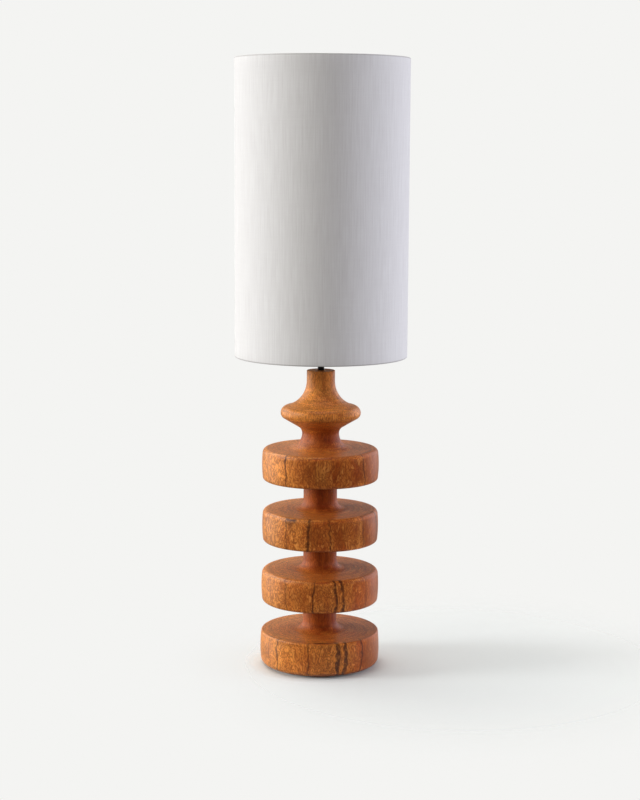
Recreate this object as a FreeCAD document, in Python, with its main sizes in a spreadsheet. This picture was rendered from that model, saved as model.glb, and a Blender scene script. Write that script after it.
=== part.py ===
# A turned hardwood column table lamp with a tall drum shade.
# +Z is up, +Y is the back, and the origin lies where the lamp's axis meets the table.
import FreeCAD, Part
import Sketcher
import math
import os

doc = FreeCAD.newDocument("column_lamp")
sheet = doc.addObject("Spreadsheet::Sheet", "lamp")

# Driving sizes, in millimetres.
SIZES = {
    # Turned column: four discs numbered from the foot, necks between them, and a finial above.
    "disc_1_radius": 89.2, "disc_2_radius": 87.7, "disc_3_radius": 86.6, "disc_4_radius": 86.8,
    "disc_1_thick": 50, "disc_2_thick": 48, "disc_3_thick": 48, "disc_4_thick": 47,
    "neck_1_length": 45.3, "neck_2_length": 43.3, "neck_3_length": 44.8,
    "neck_radius": 25, "neck_cove": 15, "disc_barrel": 1.5,
    "foot_round": 8.5, "disc_bottom_round": 4, "foot_top_round": 2.5, "disc_top_round": 7,
    "waist_radius": 27.4, "waist_height": 22.3, "waist_bend": 11.7,
    "nose_radius": 59.4, "nose_height": 52.8, "nose_lower_bend": 8.6, "nose_upper_bend": 10.6,
    "stem_radius": 20.9, "stem_height": 100.3, "finial_height": 116.3, "stem_edge_round": 1.2,
    "recess_radius": 40, "recess_depth": 22,
    # Foot hardware and the way in for the cord.
    "felt_thick": 2, "felt_radius": 76,
    "tube_radius": 5, "tube_bore": 4, "tube_play": 0.3, "thread_play": 0.05, "tube_foot_end": 3,
    "washer_radius": 20, "washer_thick": 2, "lock_washer_radius": 9, "lock_washer_thick": 1.5,
    "lock_washer_gap": 2, "nut_across_flats": 17, "nut_thick": 6,
    "bushing_radius": 6, "bushing_bore": 4, "bushing_length": 16, "bushing_flange_radius": 8,
    "bushing_flange_thick": 1.5, "bushing_play": 0.15, "bushing_seat_depth": 3, "cord_hole_height": 13,
    # Switched lampholder on top of the tube.
    "holder_rise": 23, "boss_radius": 9, "boss_height": 6, "cap_radius": 20, "cap_wall": 2.2,
    "cap_height": 36,
    "tube_head_end": 2.5, "lock_screw_radius": 1.5, "lock_screw_height": 3, "holder_play": 0.3,
    "insert_drop": 12, "insert_flange_inset": 0.4, "insert_flange_thick": 2, "insert_neck_play": 1.3,
    "insert_neck_height": 4, "contact_radius": 5, "contact_thick": 0.8,
    "shell_play": 0.3, "shell_wall": 0.75, "shell_height": 30,
    "terminal_offset": 9, "terminal_radius": 1.5, "terminal_depth": 6,
    "terminal_head_radius": 2.8, "terminal_head_thick": 2.2,
    "skirt_lap": 5, "skirt_wall": 1.8, "skirt_thread_radius": 19.75, "skirt_thread_wall": 1.95,
    "skirt_thread_height": 38, "skirt_shoulder": 1.7, "skirt_flange_radius": 25, "skirt_flange_thick": 2,
    # Rotary switch in the side of the lampholder.
    "switch_height": 16.5, "rotor_radius": 4.5, "rotor_start": 2, "rotor_length": 10,
    "spindle_radius": 2, "spindle_start": 1, "spindle_length": 31, "spindle_play": 0.05,
    "knob_radius": 6.5, "knob_gap": 1, "knob_length": 15, "knob_edge": 1.5,
    "knob_groove_radius": 1, "knob_groove_count": 12,
    "leaf_thick": 0.8, "leaf_width": 6, "leaf_foot": 5, "leaf_height": 9, "leaf_start": 4,
    # Tubular bulb with a screw cap.
    "seat_gap": 0.3, "bulb_contact_radius": 4.6, "bulb_contact_height": 2.2,
    "bulb_contact_edge": 1, "insulator_tip_radius": 5, "insulator_radius": 10, "insulator_height": 3,
    "bulb_cap_edge": 3, "bulb_cap_hole": 8, "bulb_cap_radius": 13.25, "bulb_cap_wall": 0.5,
    "bulb_cap_height": 21.8, "bulb_neck_play": 0.55, "bulb_neck_lap": 6, "bulb_neck_height": 9,
    "bulb_radius": 15, "bulb_length": 185, "glass_wall": 1, "bulb_shoulder_height": 7,
    "led_stem_radius": 3.2, "led_flange_play": 0.4, "led_flange_thick": 2, "led_stem_height": 125,
    "filament_radius": 0.9, "filament_ring_radius": 7, "filament_count": 4,
    "led_spider_radius": 8.4, "led_spider_thick": 1.2,
    # Drum shade, its wire rings, and the fitter that the lampholder's clamp ring holds down.
    "shade_radius": 127, "shade_height": 432, "shade_rise": 20.7, "fabric_thick": 0.7,
    "liner_thick": 0.4, "laminate_gap": 0.1, "liner_inset": 1.2, "hem_drop": 9,
    "wire_radius": 1.5, "wire_gap": 0.3,
    "arm_radius": 1.6, "arm_count": 3, "hem_notch": 5,
    "fitter_play": 1.25, "fitter_radius": 27, "fitter_thick": 1.8,
    "clamp_play": 0.3, "clamp_radius": 28, "clamp_thick": 6,
    "clamp_groove_radius": 2.2, "clamp_groove_count": 12,
}
for row, (alias, size) in enumerate(SIZES.items(), start=1):
    sheet.set(f"A{row}", alias)
    sheet.set(f"B{row}", str(size))
    sheet.setAlias(f"B{row}", alias)
doc.recompute()

# Levels that several pieces share, written from the driving sizes.
DISCS = (1, 2, 3, 4)
NECKS = (1, 2, 3)
parts = []


def disc_base(disc):
    """Height of a disc's underside above the underside of the wood."""
    below = [f"lamp.disc_{k}_thick + lamp.neck_{k}_length" for k in range(1, disc)]
    return " + ".join(below) if below else "0"


def disc_top(disc):
    return f"{disc_base(disc)} + lamp.disc_{disc}_thick"


COLUMN_TOP = f"lamp.felt_thick + {disc_top(4)} + lamp.finial_height"
WASHER_BASE = "lamp.felt_thick + lamp.recess_depth - lamp.washer_thick"
LOCK_WASHER_BASE = f"{WASHER_BASE} - lamp.lock_washer_thick"
NUT_BASE = f"{LOCK_WASHER_BASE} - lamp.nut_thick"
TUBE_BASE = f"{NUT_BASE} - lamp.tube_foot_end"
HOLDER_BASE = f"{COLUMN_TOP} + lamp.holder_rise"
BOSS_BORE = "(lamp.tube_radius + lamp.thread_play)"
CAP_INNER = "(lamp.cap_radius - lamp.cap_wall)"
CAP_FLOOR = "(lamp.boss_height + lamp.cap_wall)"
INSERT_RADIUS = f"({CAP_INNER} - lamp.holder_play)"
INSERT_BASE = f"{HOLDER_BASE} + lamp.cap_height - lamp.insert_drop"
INSERT_TOP = f"{HOLDER_BASE} + lamp.cap_height + lamp.insert_flange_thick + lamp.insert_neck_height"
SWITCH_LEVEL = f"{HOLDER_BASE} + lamp.switch_height"
SKIRT_BASE = f"{HOLDER_BASE} + lamp.cap_height - lamp.skirt_lap"
SKIRT_SOCKET = "(lamp.cap_radius + lamp.holder_play)"
SKIRT_STEP = "(lamp.skirt_lap + lamp.insert_flange_thick + lamp.holder_play)"
SKIRT_BORE = "(lamp.skirt_thread_radius - lamp.skirt_thread_wall)"
FLANGE_BASE = f"({SKIRT_STEP} + lamp.skirt_shoulder)"
FLANGE_TOP = f"({FLANGE_BASE} + lamp.skirt_flange_thick)"
FITTER_BASE = f"{SKIRT_BASE} + {FLANGE_TOP} + lamp.seat_gap"
CLAMP_BASE = f"{FITTER_BASE} + lamp.fitter_thick + lamp.seat_gap"
BULB_BASE = f"{INSERT_TOP} + lamp.contact_thick + lamp.seat_gap"
BULB_CAP_BASE = "(lamp.bulb_contact_height + lamp.insulator_height)"
GLASS_BASE = f"({BULB_CAP_BASE} + lamp.bulb_cap_height - lamp.bulb_neck_lap)"
SHADE_BASE = f"{COLUMN_TOP} + lamp.shade_rise"
FABRIC_INNER = "(lamp.shade_radius - lamp.fabric_thick)"
LINER_OUTER = f"({FABRIC_INNER} - lamp.laminate_gap)"
LINER_INNER = f"({LINER_OUTER} - lamp.liner_thick)"
WIRE_RING = f"({LINER_INNER} - lamp.wire_gap - lamp.wire_radius)"
WIRE_LEVEL = "(lamp.fabric_thick + lamp.wire_gap + lamp.wire_radius)"
HEM_OUTER = f"({WIRE_RING} - lamp.wire_radius - lamp.wire_gap)"
HEM_INNER = f"({HEM_OUTER} - lamp.fabric_thick)"


def value(expression):
    """The present value of an expression over the driving sizes."""
    result = sheet.evalExpression(expression)
    return float(getattr(result, "Value", result))


def new_body(name, height="0"):
    """An empty body that stands at a height on the lamp's axis."""
    body = doc.addObject("PartDesign::Body", name)
    body.Label = name
    parts.append(body)
    if height != "0":
        body.setExpression("Placement.Base.z", height)
    return body


def origin_feature(body, role):
    return next(feature for feature in body.Origin.OriginFeatures if feature.Role == role)


def new_sketch(body, name, plane, offset="0"):
    """A sketch on one of the body's planes, or an offset along that plane's normal from it."""
    sketch = body.newObject("Sketcher::SketchObject", name)
    sketch.AttachmentSupport = (origin_feature(body, plane), [""])
    sketch.MapMode = "FlatFace"
    if offset != "0":
        sketch.setExpression("AttachmentOffset.Base.z", offset)
    return sketch


def bind(sketch, constraint, name, expression):
    """Adds a dimension to a sketch and ties it to an expression."""
    index = sketch.addConstraint(constraint)
    sketch.renameConstraint(index, name)
    sketch.setExpression(f".Constraints.{name}", expression)


def pin_point(sketch, curve, end, name, across, up):
    """Holds one end of a curve at its place across and up from the sketch's origin."""
    for axis, kind, place in ((-2, "DistanceX", across), (-1, "DistanceY", up)):
        if place == "0":
            sketch.addConstraint(Sketcher.Constraint("PointOnObject", curve, end, axis))
        else:
            dimension = Sketcher.Constraint(kind, -1, 1, curve, end, value(place))
            bind(sketch, dimension, f"{name}_{kind.lower()}", place)


def arc_between(start, finish, radius, side):
    """The short arc of a radius between two points, bulging left (+1) or right (-1) of the way there."""
    chord = finish - start
    half = chord.Length / 2
    depth = math.sqrt(max(radius * radius - half * half, 0))
    left = FreeCAD.Vector(-chord.y, chord.x, 0).normalize()
    centre = start + chord * 0.5 - left * (depth * side)
    first = math.atan2(start.y - centre.y, start.x - centre.x)
    last = math.atan2(finish.y - centre.y, finish.x - centre.x)
    circle = Part.Circle(centre, FreeCAD.Vector(0, 0, 1), radius)
    if side > 0:
        first, last = last, first
    if last < first:
        last += 2 * math.pi
    return Part.ArcOfCircle(circle, first, last)


def outline(body, name, corners, bends=None, plane="XZ_Plane", offset="0"):
    """A closed sketch through corners (across, up); bends maps a corner's number to the (radius, side) of
    the arc that leaves it, and every other corner is left by a straight line."""
    bends = bends or {}
    sketch = new_sketch(body, name, plane, offset)
    points = [FreeCAD.Vector(value(across), value(up), 0) for across, up in corners]
    ends = []
    for number, start in enumerate(points):
        finish = points[(number + 1) % len(points)]
        if number in bends:
            radius, side = bends[number]
            sketch.addGeometry(arc_between(start, finish, value(radius), side), False)
            ends.append((2, 1) if side > 0 else (1, 2))
        else:
            sketch.addGeometry(Part.LineSegment(start, finish), False)
            ends.append((1, 2))
    for number, (across, up) in enumerate(corners):
        following = (number + 1) % len(corners)
        sketch.addConstraint(
            Sketcher.Constraint("Coincident", number, ends[number][1], following, ends[following][0]))
        pin_point(sketch, number, ends[number][0], f"corner_{number}", across, up)
        if number in bends:
            radius = bends[number][0]
            bind(sketch, Sketcher.Constraint("Radius", number, value(radius)), f"bend_{number}", radius)
    return sketch


def circle_sketch(body, name, radius, across="0", up="0", plane="XY_Plane", offset="0"):
    sketch = new_sketch(body, name, plane, offset)
    centre = FreeCAD.Vector(value(across), value(up), 0)
    sketch.addGeometry(Part.Circle(centre, FreeCAD.Vector(0, 0, 1), value(radius)), False)
    bind(sketch, Sketcher.Constraint("Radius", 0, value(radius)), "radius", radius)
    pin_point(sketch, 0, 3, "centre", across, up)
    return sketch


def turn(body, name, corners, bends=None, axis="V_Axis"):
    """Adds the solid that an outline sweeps round the vertical axis, or round X with axis H_Axis."""
    sketch = outline(body, f"{name}_outline", corners, bends)
    feature = body.newObject("PartDesign::Revolution", name)
    feature.Profile = sketch
    feature.ReferenceAxis = (sketch, [axis])
    feature.Angle = 360
    return feature


def ring(body, name, inner, outer, height):
    """A flat ring or, with no inner radius, a disc."""
    return turn(body, name, [(inner, "0"), (outer, "0"), (outer, height), (inner, height)])


SMALLEST_CUT = 0.1
SAME_PLACE = 0.01


def pad(body, name, sketch, length):
    feature = body.newObject("PartDesign::Pad", name)
    feature.Profile = sketch
    feature.setExpression("Length", length)
    doc.recompute()
    return feature


def cut(body, name, sketch, length, backwards):
    """Cuts a sketch into the body for a length, and makes sure that it removed something. Forwards runs
    down from a level sketch, to +Y from an upright one across X and to -X from one across Y."""
    doc.recompute()
    before = body.Shape.copy()
    feature = body.newObject("PartDesign::Pocket", name)
    feature.Profile = sketch
    feature.setExpression("Length", length)
    feature.Reversed = backwards
    doc.recompute()
    if before.cut(feature.Shape).Volume < SMALLEST_CUT:
        raise ValueError(f"{name} cuts nothing")
    return feature


def repeat_round(body, name, feature, count, role="Z_Axis"):
    """Repeats a feature evenly round one of the body's axes."""
    pattern = body.newObject("PartDesign::PolarPattern", name)
    pattern.Originals = [feature]
    pattern.Axis = (origin_feature(body, role), [""])
    pattern.Angle = 360
    pattern.setExpression("Occurrences", count)
    body.Tip = pattern
    doc.recompute()
    return pattern


def round_edges(body, name, places, radius):
    """Rounds the circular edges found at (radius, height) places round the vertical axis."""
    doc.recompute()
    base = body.Tip
    found = []
    for number, edge in enumerate(base.Shape.Edges, start=1):
        if not isinstance(edge.Curve, Part.Circle):
            continue
        centre = edge.Curve.Center
        for at_radius, at_height in places:
            near = abs(edge.Curve.Radius - value(at_radius)) + abs(centre.z - value(at_height)) < SAME_PLACE
            if near and math.hypot(centre.x, centre.y) < SAME_PLACE:
                found.append(f"Edge{number}")
    if len(found) != len(places):
        raise ValueError(f"{name} finds {len(found)} of {len(places)} edges")
    feature = body.newObject("PartDesign::Fillet", name)
    feature.Base = (base, found)
    feature.setExpression("Radius", radius)
    doc.recompute()
    return feature


# Column: discs, necks and finial turned from one piece of hardwood on its long axis.
column = new_body("column", "lamp.felt_thick")
for disc in DISCS:
    edge_radius = f"(lamp.disc_{disc}_radius - lamp.disc_barrel)"
    half_thick = f"(lamp.disc_{disc}_thick / 2)"
    barrel = f"({half_thick} ^ 2 + lamp.disc_barrel ^ 2) / (2 * lamp.disc_barrel)"
    low, high = disc_base(disc), disc_top(disc)
    turn(column, f"disc_{disc}", [("0", low), (edge_radius, low), (edge_radius, high), ("0", high)],
         {1: (barrel, -1)})
for neck in NECKS:
    low, high = disc_top(neck), disc_base(neck + 1)
    turn(column, f"neck_{neck}",
         [("0", low), ("lamp.neck_radius", low), ("lamp.neck_radius", high), ("0", high)])

# The finial sweeps from the top disc in to a waist, out to a thin rim and back in to the stem. The waist's
# bend meets the rim's lower bend along a straight slope, and the rim's upper bend runs into the stem's flare.
rise = disc_top(4)
slope_run = "(lamp.nose_radius - lamp.nose_lower_bend - lamp.waist_radius - lamp.waist_bend)"
slope_rise = "(lamp.nose_height - lamp.waist_height)"
slope_span = f"sqrt({slope_run} ^ 2 + {slope_rise} ^ 2)"
lean = f"(asin((lamp.waist_bend + lamp.nose_lower_bend) / {slope_span}) + atan({slope_run} / {slope_rise}))"
rim_run = "(lamp.nose_radius - lamp.stem_radius)"
rim_rise = "(lamp.stem_height - lamp.nose_height)"
flare = f"(({rim_run} ^ 2 + {rim_rise} ^ 2) / (2 * {rim_run}) - lamp.nose_upper_bend)"
flare_share = f"(lamp.nose_upper_bend / ({flare} + lamp.nose_upper_bend))"
flare_run = f"({flare} + lamp.nose_upper_bend - {rim_run})"
finial_corners = [
    ("0", rise),
    ("lamp.waist_radius + lamp.waist_height", rise),
    ("lamp.waist_radius", f"{rise} + lamp.waist_height"),
    (f"lamp.waist_radius + lamp.waist_bend * (1 - cos({lean}))",
     f"{rise} + lamp.waist_height + lamp.waist_bend * sin({lean})"),
    (f"lamp.nose_radius - lamp.nose_lower_bend * (1 - cos({lean}))",
     f"{rise} + lamp.nose_height - lamp.nose_lower_bend * sin({lean})"),
    ("lamp.nose_radius", f"{rise} + lamp.nose_height"),
    (f"lamp.nose_radius - lamp.nose_upper_bend + {flare_run} * {flare_share}",
     f"{rise} + lamp.nose_height + {rim_rise} * {flare_share}"),
    ("lamp.stem_radius", f"{rise} + lamp.stem_height"),
    ("lamp.stem_radius", f"{rise} + lamp.finial_height"),
    ("0", f"{rise} + lamp.finial_height"),
]
finial_bends = {
    1: ("lamp.waist_height", 1),
    2: ("lamp.waist_bend", 1),
    4: ("lamp.nose_lower_bend", -1),
    5: ("lamp.nose_upper_bend", -1),
    6: (flare, 1),
}
turn(column, "finial", finial_corners, finial_bends)


def disc_edge(disc, level):
    return (f"lamp.disc_{disc}_radius - lamp.disc_barrel", level(disc))


round_edges(column, "foot_bottom_rounding", [disc_edge(1, disc_base)], "lamp.foot_round")
round_edges(column, "foot_top_rounding", [disc_edge(1, disc_top)], "lamp.foot_top_round")
upper_discs = DISCS[1:]
round_edges(column, "disc_bottom_rounding", [disc_edge(disc, disc_base) for disc in upper_discs],
            "lamp.disc_bottom_round")
round_edges(column, "disc_top_rounding", [disc_edge(disc, disc_top) for disc in upper_discs],
            "lamp.disc_top_round")
round_edges(column, "neck_coves", [("lamp.neck_radius", disc_top(neck)) for neck in NECKS], "lamp.neck_cove")
round_edges(column, "stem_edge_rounding", [("lamp.stem_radius", f"{rise} + lamp.finial_height")],
            "lamp.stem_edge_round")

# The tube's bore runs the full height and opens into a recess for the nut under the foot.
bore = circle_sketch(column, "bore_circle", "lamp.tube_radius + lamp.tube_play")
cut(column, "tube_bore", bore, f"{rise} + lamp.finial_height", True)
recess = circle_sketch(column, "recess_circle", "lamp.recess_radius")
cut(column, "foot_recess", recess, "lamp.recess_depth", True)
cord_hole = circle_sketch(column, "cord_hole_circle", "lamp.bushing_radius + lamp.bushing_play",
                          "0", "lamp.cord_hole_height", "XZ_Plane")
cut(column, "cord_hole", cord_hole, "lamp.disc_1_radius", False)


# The bushing's flat seat is a shallow round facing in the back of the foot disc.
SEAT_PLACE = "(lamp.disc_1_radius - lamp.bushing_seat_depth)"
facing = circle_sketch(column, "bushing_facing_circle", "lamp.bushing_flange_radius + lamp.tube_play",
                       "0", "lamp.cord_hole_height", "XZ_Plane", f"-{SEAT_PLACE}")
cut(column, "bushing_facing", facing, "2 * lamp.bushing_seat_depth", False)

# Felt glued under the foot, which also closes the recess.
foot_felt = new_body("foot_felt")
ring(foot_felt, "felt_disc", "0", "lamp.felt_radius", "lamp.felt_thick")

# Threaded steel tube, which carries the lampholder and clamps the column between it and the foot nut.
lamp_tube = new_body("lamp_tube", TUBE_BASE)
tube_top = f"({HOLDER_BASE} + lamp.boss_height + lamp.tube_head_end)"
ring(lamp_tube, "tube_wall", "lamp.tube_bore", "lamp.tube_radius", f"{tube_top} - ({TUBE_BASE})")

foot_washer = new_body("foot_washer", WASHER_BASE)
ring(foot_washer, "washer_disc", "lamp.tube_radius + lamp.tube_play", "lamp.washer_radius",
     "lamp.washer_thick")

lock_washer = new_body("lock_washer", LOCK_WASHER_BASE)
ring(lock_washer, "spring_ring", "lamp.tube_radius + lamp.tube_play", "lamp.lock_washer_radius",
     "lamp.lock_washer_thick")
split = outline(lock_washer, "split_outline", [
    ("0", "-lamp.lock_washer_gap / 2"),
    ("2 * lamp.lock_washer_radius", "-lamp.lock_washer_gap / 2"),
    ("2 * lamp.lock_washer_radius", "lamp.lock_washer_gap / 2"),
    ("0", "lamp.lock_washer_gap / 2"),
], plane="XY_Plane")
cut(lock_washer, "split", split, "lamp.lock_washer_thick", True)

foot_nut = new_body("foot_nut", NUT_BASE)
NUT_SIDES = 6
NUT_BEARING = 15
nut_corner = f"(lamp.nut_across_flats / 2 / cos({180 / NUT_SIDES}))"
nut_corners = []
for side in range(NUT_SIDES):
    turned = 360 * side / NUT_SIDES + NUT_BEARING
    nut_corners.append((f"{nut_corner} * cos({turned})", f"{nut_corner} * sin({turned})"))
hexagon = outline(foot_nut, "hexagon_outline", nut_corners, plane="XY_Plane")
pad(foot_nut, "hexagon", hexagon, "lamp.nut_thick")
nut_bore = circle_sketch(foot_nut, "nut_bore_circle", BOSS_BORE)
cut(foot_nut, "nut_bore", nut_bore, "lamp.nut_thick", True)

# Bushing that lines the cord's way in, turned to face the back.
cord_bushing = new_body("cord_bushing", "lamp.felt_thick + lamp.cord_hole_height")
turn(cord_bushing, "bushing_barrel", [
    ("lamp.bushing_bore", "-lamp.bushing_length"),
    ("lamp.bushing_radius", "-lamp.bushing_length"),
    ("lamp.bushing_radius", "0"),
    ("lamp.bushing_flange_radius", "0"),
    ("lamp.bushing_flange_radius", "lamp.bushing_flange_thick"),
    ("lamp.bushing_bore", "lamp.bushing_flange_thick"),
])
cord_bushing.Placement.Rotation = FreeCAD.Rotation(FreeCAD.Vector(1, 0, 0), -90)
cord_bushing.setExpression("Placement.Base.y", SEAT_PLACE)

# Lampholder cap: a boss that screws on the tube, a sloping shoulder and a straight side.
holder_cap = new_body("holder_cap", HOLDER_BASE)
SHOULDER = "lamp.cap_wall"
turn(holder_cap, "cap_shell", [
    (BOSS_BORE, "0"),
    ("lamp.boss_radius", "0"),
    ("lamp.boss_radius", "lamp.boss_height"),
    (f"lamp.cap_radius - {SHOULDER}", "lamp.boss_height"),
    ("lamp.cap_radius", f"lamp.boss_height + {SHOULDER}"),
    ("lamp.cap_radius", "lamp.cap_height"),
    (CAP_INNER, "lamp.cap_height"),
    (CAP_INNER, CAP_FLOOR),
    (BOSS_BORE, CAP_FLOOR),
])
spindle_way = circle_sketch(holder_cap, "spindle_way_circle", "lamp.spindle_radius + lamp.spindle_play",
                            "0", "lamp.switch_height", "YZ_Plane")
cut(holder_cap, "spindle_way", spindle_way, "2 * lamp.cap_radius", True)
screw_way = circle_sketch(holder_cap, "screw_way_circle", "lamp.lock_screw_radius + lamp.thread_play",
                          "0", "lamp.lock_screw_height", "XZ_Plane")
cut(holder_cap, "screw_way", screw_way, "2 * lamp.boss_radius", False)

# Grub screw through the boss, which stops the cap from turning on the tube.
cap_lock_screw = doc.addObject("Part::Cylinder", "cap_lock_screw")
cap_lock_screw.Label = "cap_lock_screw"
cap_lock_screw.Placement.Rotation = FreeCAD.Rotation(FreeCAD.Vector(1, 0, 0), -90)
cap_lock_screw.setExpression("Radius", "lamp.lock_screw_radius")
cap_lock_screw.setExpression("Height", f"lamp.boss_radius - {BOSS_BORE}")
cap_lock_screw.setExpression("Placement.Base.y", BOSS_BORE)
cap_lock_screw.setExpression("Placement.Base.z", f"{HOLDER_BASE} + lamp.lock_screw_height")
parts.append(cap_lock_screw)

# Rotary switch: rotor and knob on one spindle across the cap, and the leaf that the rotor works.
SPINDLE_FIT = "(lamp.spindle_radius + lamp.spindle_play)"
SPINDLE_END = "(lamp.spindle_start + lamp.spindle_length)"
KNOB_START = "(lamp.cap_radius + lamp.knob_gap)"
KNOB_END = f"({KNOB_START} + lamp.knob_length)"
switch_rotor = new_body("switch_rotor", SWITCH_LEVEL)
ROTOR_END = "lamp.rotor_start + lamp.rotor_length"
turn(switch_rotor, "rotor", [
    ("lamp.rotor_start", SPINDLE_FIT),
    (ROTOR_END, SPINDLE_FIT),
    (ROTOR_END, "lamp.rotor_radius"),
    ("lamp.rotor_start", "lamp.rotor_radius"),
], axis="H_Axis")
switch_spindle = new_body("switch_spindle", SWITCH_LEVEL)
turn(switch_spindle, "spindle", [
    ("lamp.spindle_start", "0"),
    (SPINDLE_END, "0"),
    (SPINDLE_END, "lamp.spindle_radius"),
    ("lamp.spindle_start", "lamp.spindle_radius"),
], axis="H_Axis")
switch_knob = new_body("switch_knob", SWITCH_LEVEL)
socket_end = f"{SPINDLE_END} + lamp.seat_gap"
turn(switch_knob, "knob", [
    (KNOB_START, SPINDLE_FIT),
    (socket_end, SPINDLE_FIT),
    (socket_end, "0"),
    (KNOB_END, "0"),
    (KNOB_END, "lamp.knob_radius - lamp.knob_edge"),
    (f"{KNOB_END} - lamp.knob_edge", "lamp.knob_radius"),
    (KNOB_START, "lamp.knob_radius"),
], axis="H_Axis")
knob_groove = circle_sketch(switch_knob, "knob_groove_circle", "lamp.knob_groove_radius",
                            "0", "lamp.knob_radius", "YZ_Plane")
first_groove = cut(switch_knob, "knob_groove", knob_groove, KNOB_END, True)
repeat_round(switch_knob, "knob_grooves", first_groove, "lamp.knob_groove_count", "X_Axis")

switch_contact = new_body("switch_contact", f"{INSERT_BASE} - lamp.leaf_height")
switch_contact.setExpression("Placement.Base.x", "lamp.leaf_start")
leaf_face = "(lamp.rotor_radius + lamp.seat_gap)"
leaf_sketch = outline(switch_contact, "leaf_outline", [
    (leaf_face, "0"),
    (f"{leaf_face} + lamp.leaf_thick", "0"),
    (f"{leaf_face} + lamp.leaf_thick", "lamp.leaf_height - lamp.leaf_thick"),
    (f"{leaf_face} + lamp.leaf_foot", "lamp.leaf_height - lamp.leaf_thick"),
    (f"{leaf_face} + lamp.leaf_foot", "lamp.leaf_height"),
    (leaf_face, "lamp.leaf_height"),
], plane="YZ_Plane")
pad(switch_contact, "leaf", leaf_sketch, "lamp.leaf_width")

# Porcelain insert, which hangs in the cap by its flange and carries the contacts and the screw shell.
holder_insert = new_body("holder_insert", INSERT_BASE)
FLANGE_UNDER = "lamp.insert_drop"
FLANGE_OVER = "lamp.insert_drop + lamp.insert_flange_thick"
FLANGE_RIM = "lamp.cap_radius - lamp.insert_flange_inset"
INSERT_NECK = f"{SKIRT_BORE} - lamp.insert_neck_play"
INSERT_HEIGHT = f"{FLANGE_OVER} + lamp.insert_neck_height"
turn(holder_insert, "porcelain", [
    ("0", "0"),
    (INSERT_RADIUS, "0"),
    (INSERT_RADIUS, FLANGE_UNDER),
    (FLANGE_RIM, FLANGE_UNDER),
    (FLANGE_RIM, FLANGE_OVER),
    (INSERT_NECK, FLANGE_OVER),
    (INSERT_NECK, INSERT_HEIGHT),
    ("0", INSERT_HEIGHT),
])
terminal_way = circle_sketch(holder_insert, "terminal_way_circle", "lamp.terminal_radius + lamp.thread_play",
                             "lamp.terminal_offset", "0")
first_way = cut(holder_insert, "terminal_way", terminal_way, "lamp.terminal_depth + lamp.seat_gap", True)
TERMINAL_COUNT = 2
repeat_round(holder_insert, "terminal_ways", first_way, str(TERMINAL_COUNT))

# Terminal screws, heads down under the insert, where the two cores of the cord are held.
terminal_pieces = []
for terminal in range(TERMINAL_COUNT):
    place = f"lamp.terminal_offset * cos({360 * terminal / TERMINAL_COUNT})"
    shapes = (("shank", "lamp.terminal_radius", "lamp.terminal_depth", INSERT_BASE),
              ("head", "lamp.terminal_head_radius", "lamp.terminal_head_thick",
               f"{INSERT_BASE} - lamp.terminal_head_thick"))
    for shape, radius, height, level in shapes:
        piece = doc.addObject("Part::Cylinder", f"terminal_{shape}_{terminal + 1}")
        piece.setExpression("Radius", radius)
        piece.setExpression("Height", height)
        piece.setExpression("Placement.Base.x", place)
        piece.setExpression("Placement.Base.z", level)
        terminal_pieces.append(piece)
terminal_screws = doc.addObject("Part::MultiFuse", "terminal_screws")
terminal_screws.Label = "terminal_screws"
terminal_screws.Shapes = terminal_pieces
parts.append(terminal_screws)

centre_contact = new_body("centre_contact", INSERT_TOP)
ring(centre_contact, "contact_disc", "0", "lamp.contact_radius", "lamp.contact_thick")

screw_shell = new_body("screw_shell", INSERT_TOP)
SHELL_BORE = "lamp.bulb_cap_radius + lamp.shell_play"
ring(screw_shell, "shell_wall", SHELL_BORE, f"{SHELL_BORE} + lamp.shell_wall", "lamp.shell_height")

# Skirt: laps over the cap, holds the insert down, and has a flange and a thread for the shade.
holder_skirt = new_body("holder_skirt", SKIRT_BASE)
SKIRT_HEIGHT = f"{FLANGE_TOP} + lamp.skirt_thread_height"
turn(holder_skirt, "skirt_wall", [
    (SKIRT_SOCKET, "0"),
    (f"{SKIRT_SOCKET} + lamp.skirt_wall", "0"),
    (f"{SKIRT_SOCKET} + lamp.skirt_wall", FLANGE_BASE),
    ("lamp.skirt_flange_radius", FLANGE_BASE),
    ("lamp.skirt_flange_radius", FLANGE_TOP),
    ("lamp.skirt_thread_radius", FLANGE_TOP),
    ("lamp.skirt_thread_radius", SKIRT_HEIGHT),
    (SKIRT_BORE, SKIRT_HEIGHT),
    (SKIRT_BORE, SKIRT_STEP),
    (SKIRT_SOCKET, SKIRT_STEP),
])

# Clamp ring with grip grooves, which screws down the skirt on to the shade's fitter.
clamp_ring = new_body("clamp_ring", CLAMP_BASE)
ring(clamp_ring, "clamp_body", "lamp.skirt_thread_radius + lamp.clamp_play", "lamp.clamp_radius",
     "lamp.clamp_thick")
grip = circle_sketch(clamp_ring, "grip_circle", "lamp.clamp_groove_radius", "lamp.clamp_radius", "0")
first_grip = cut(clamp_ring, "grip", grip, "lamp.clamp_thick", True)
repeat_round(clamp_ring, "grips", first_grip, "lamp.clamp_groove_count")

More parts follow.
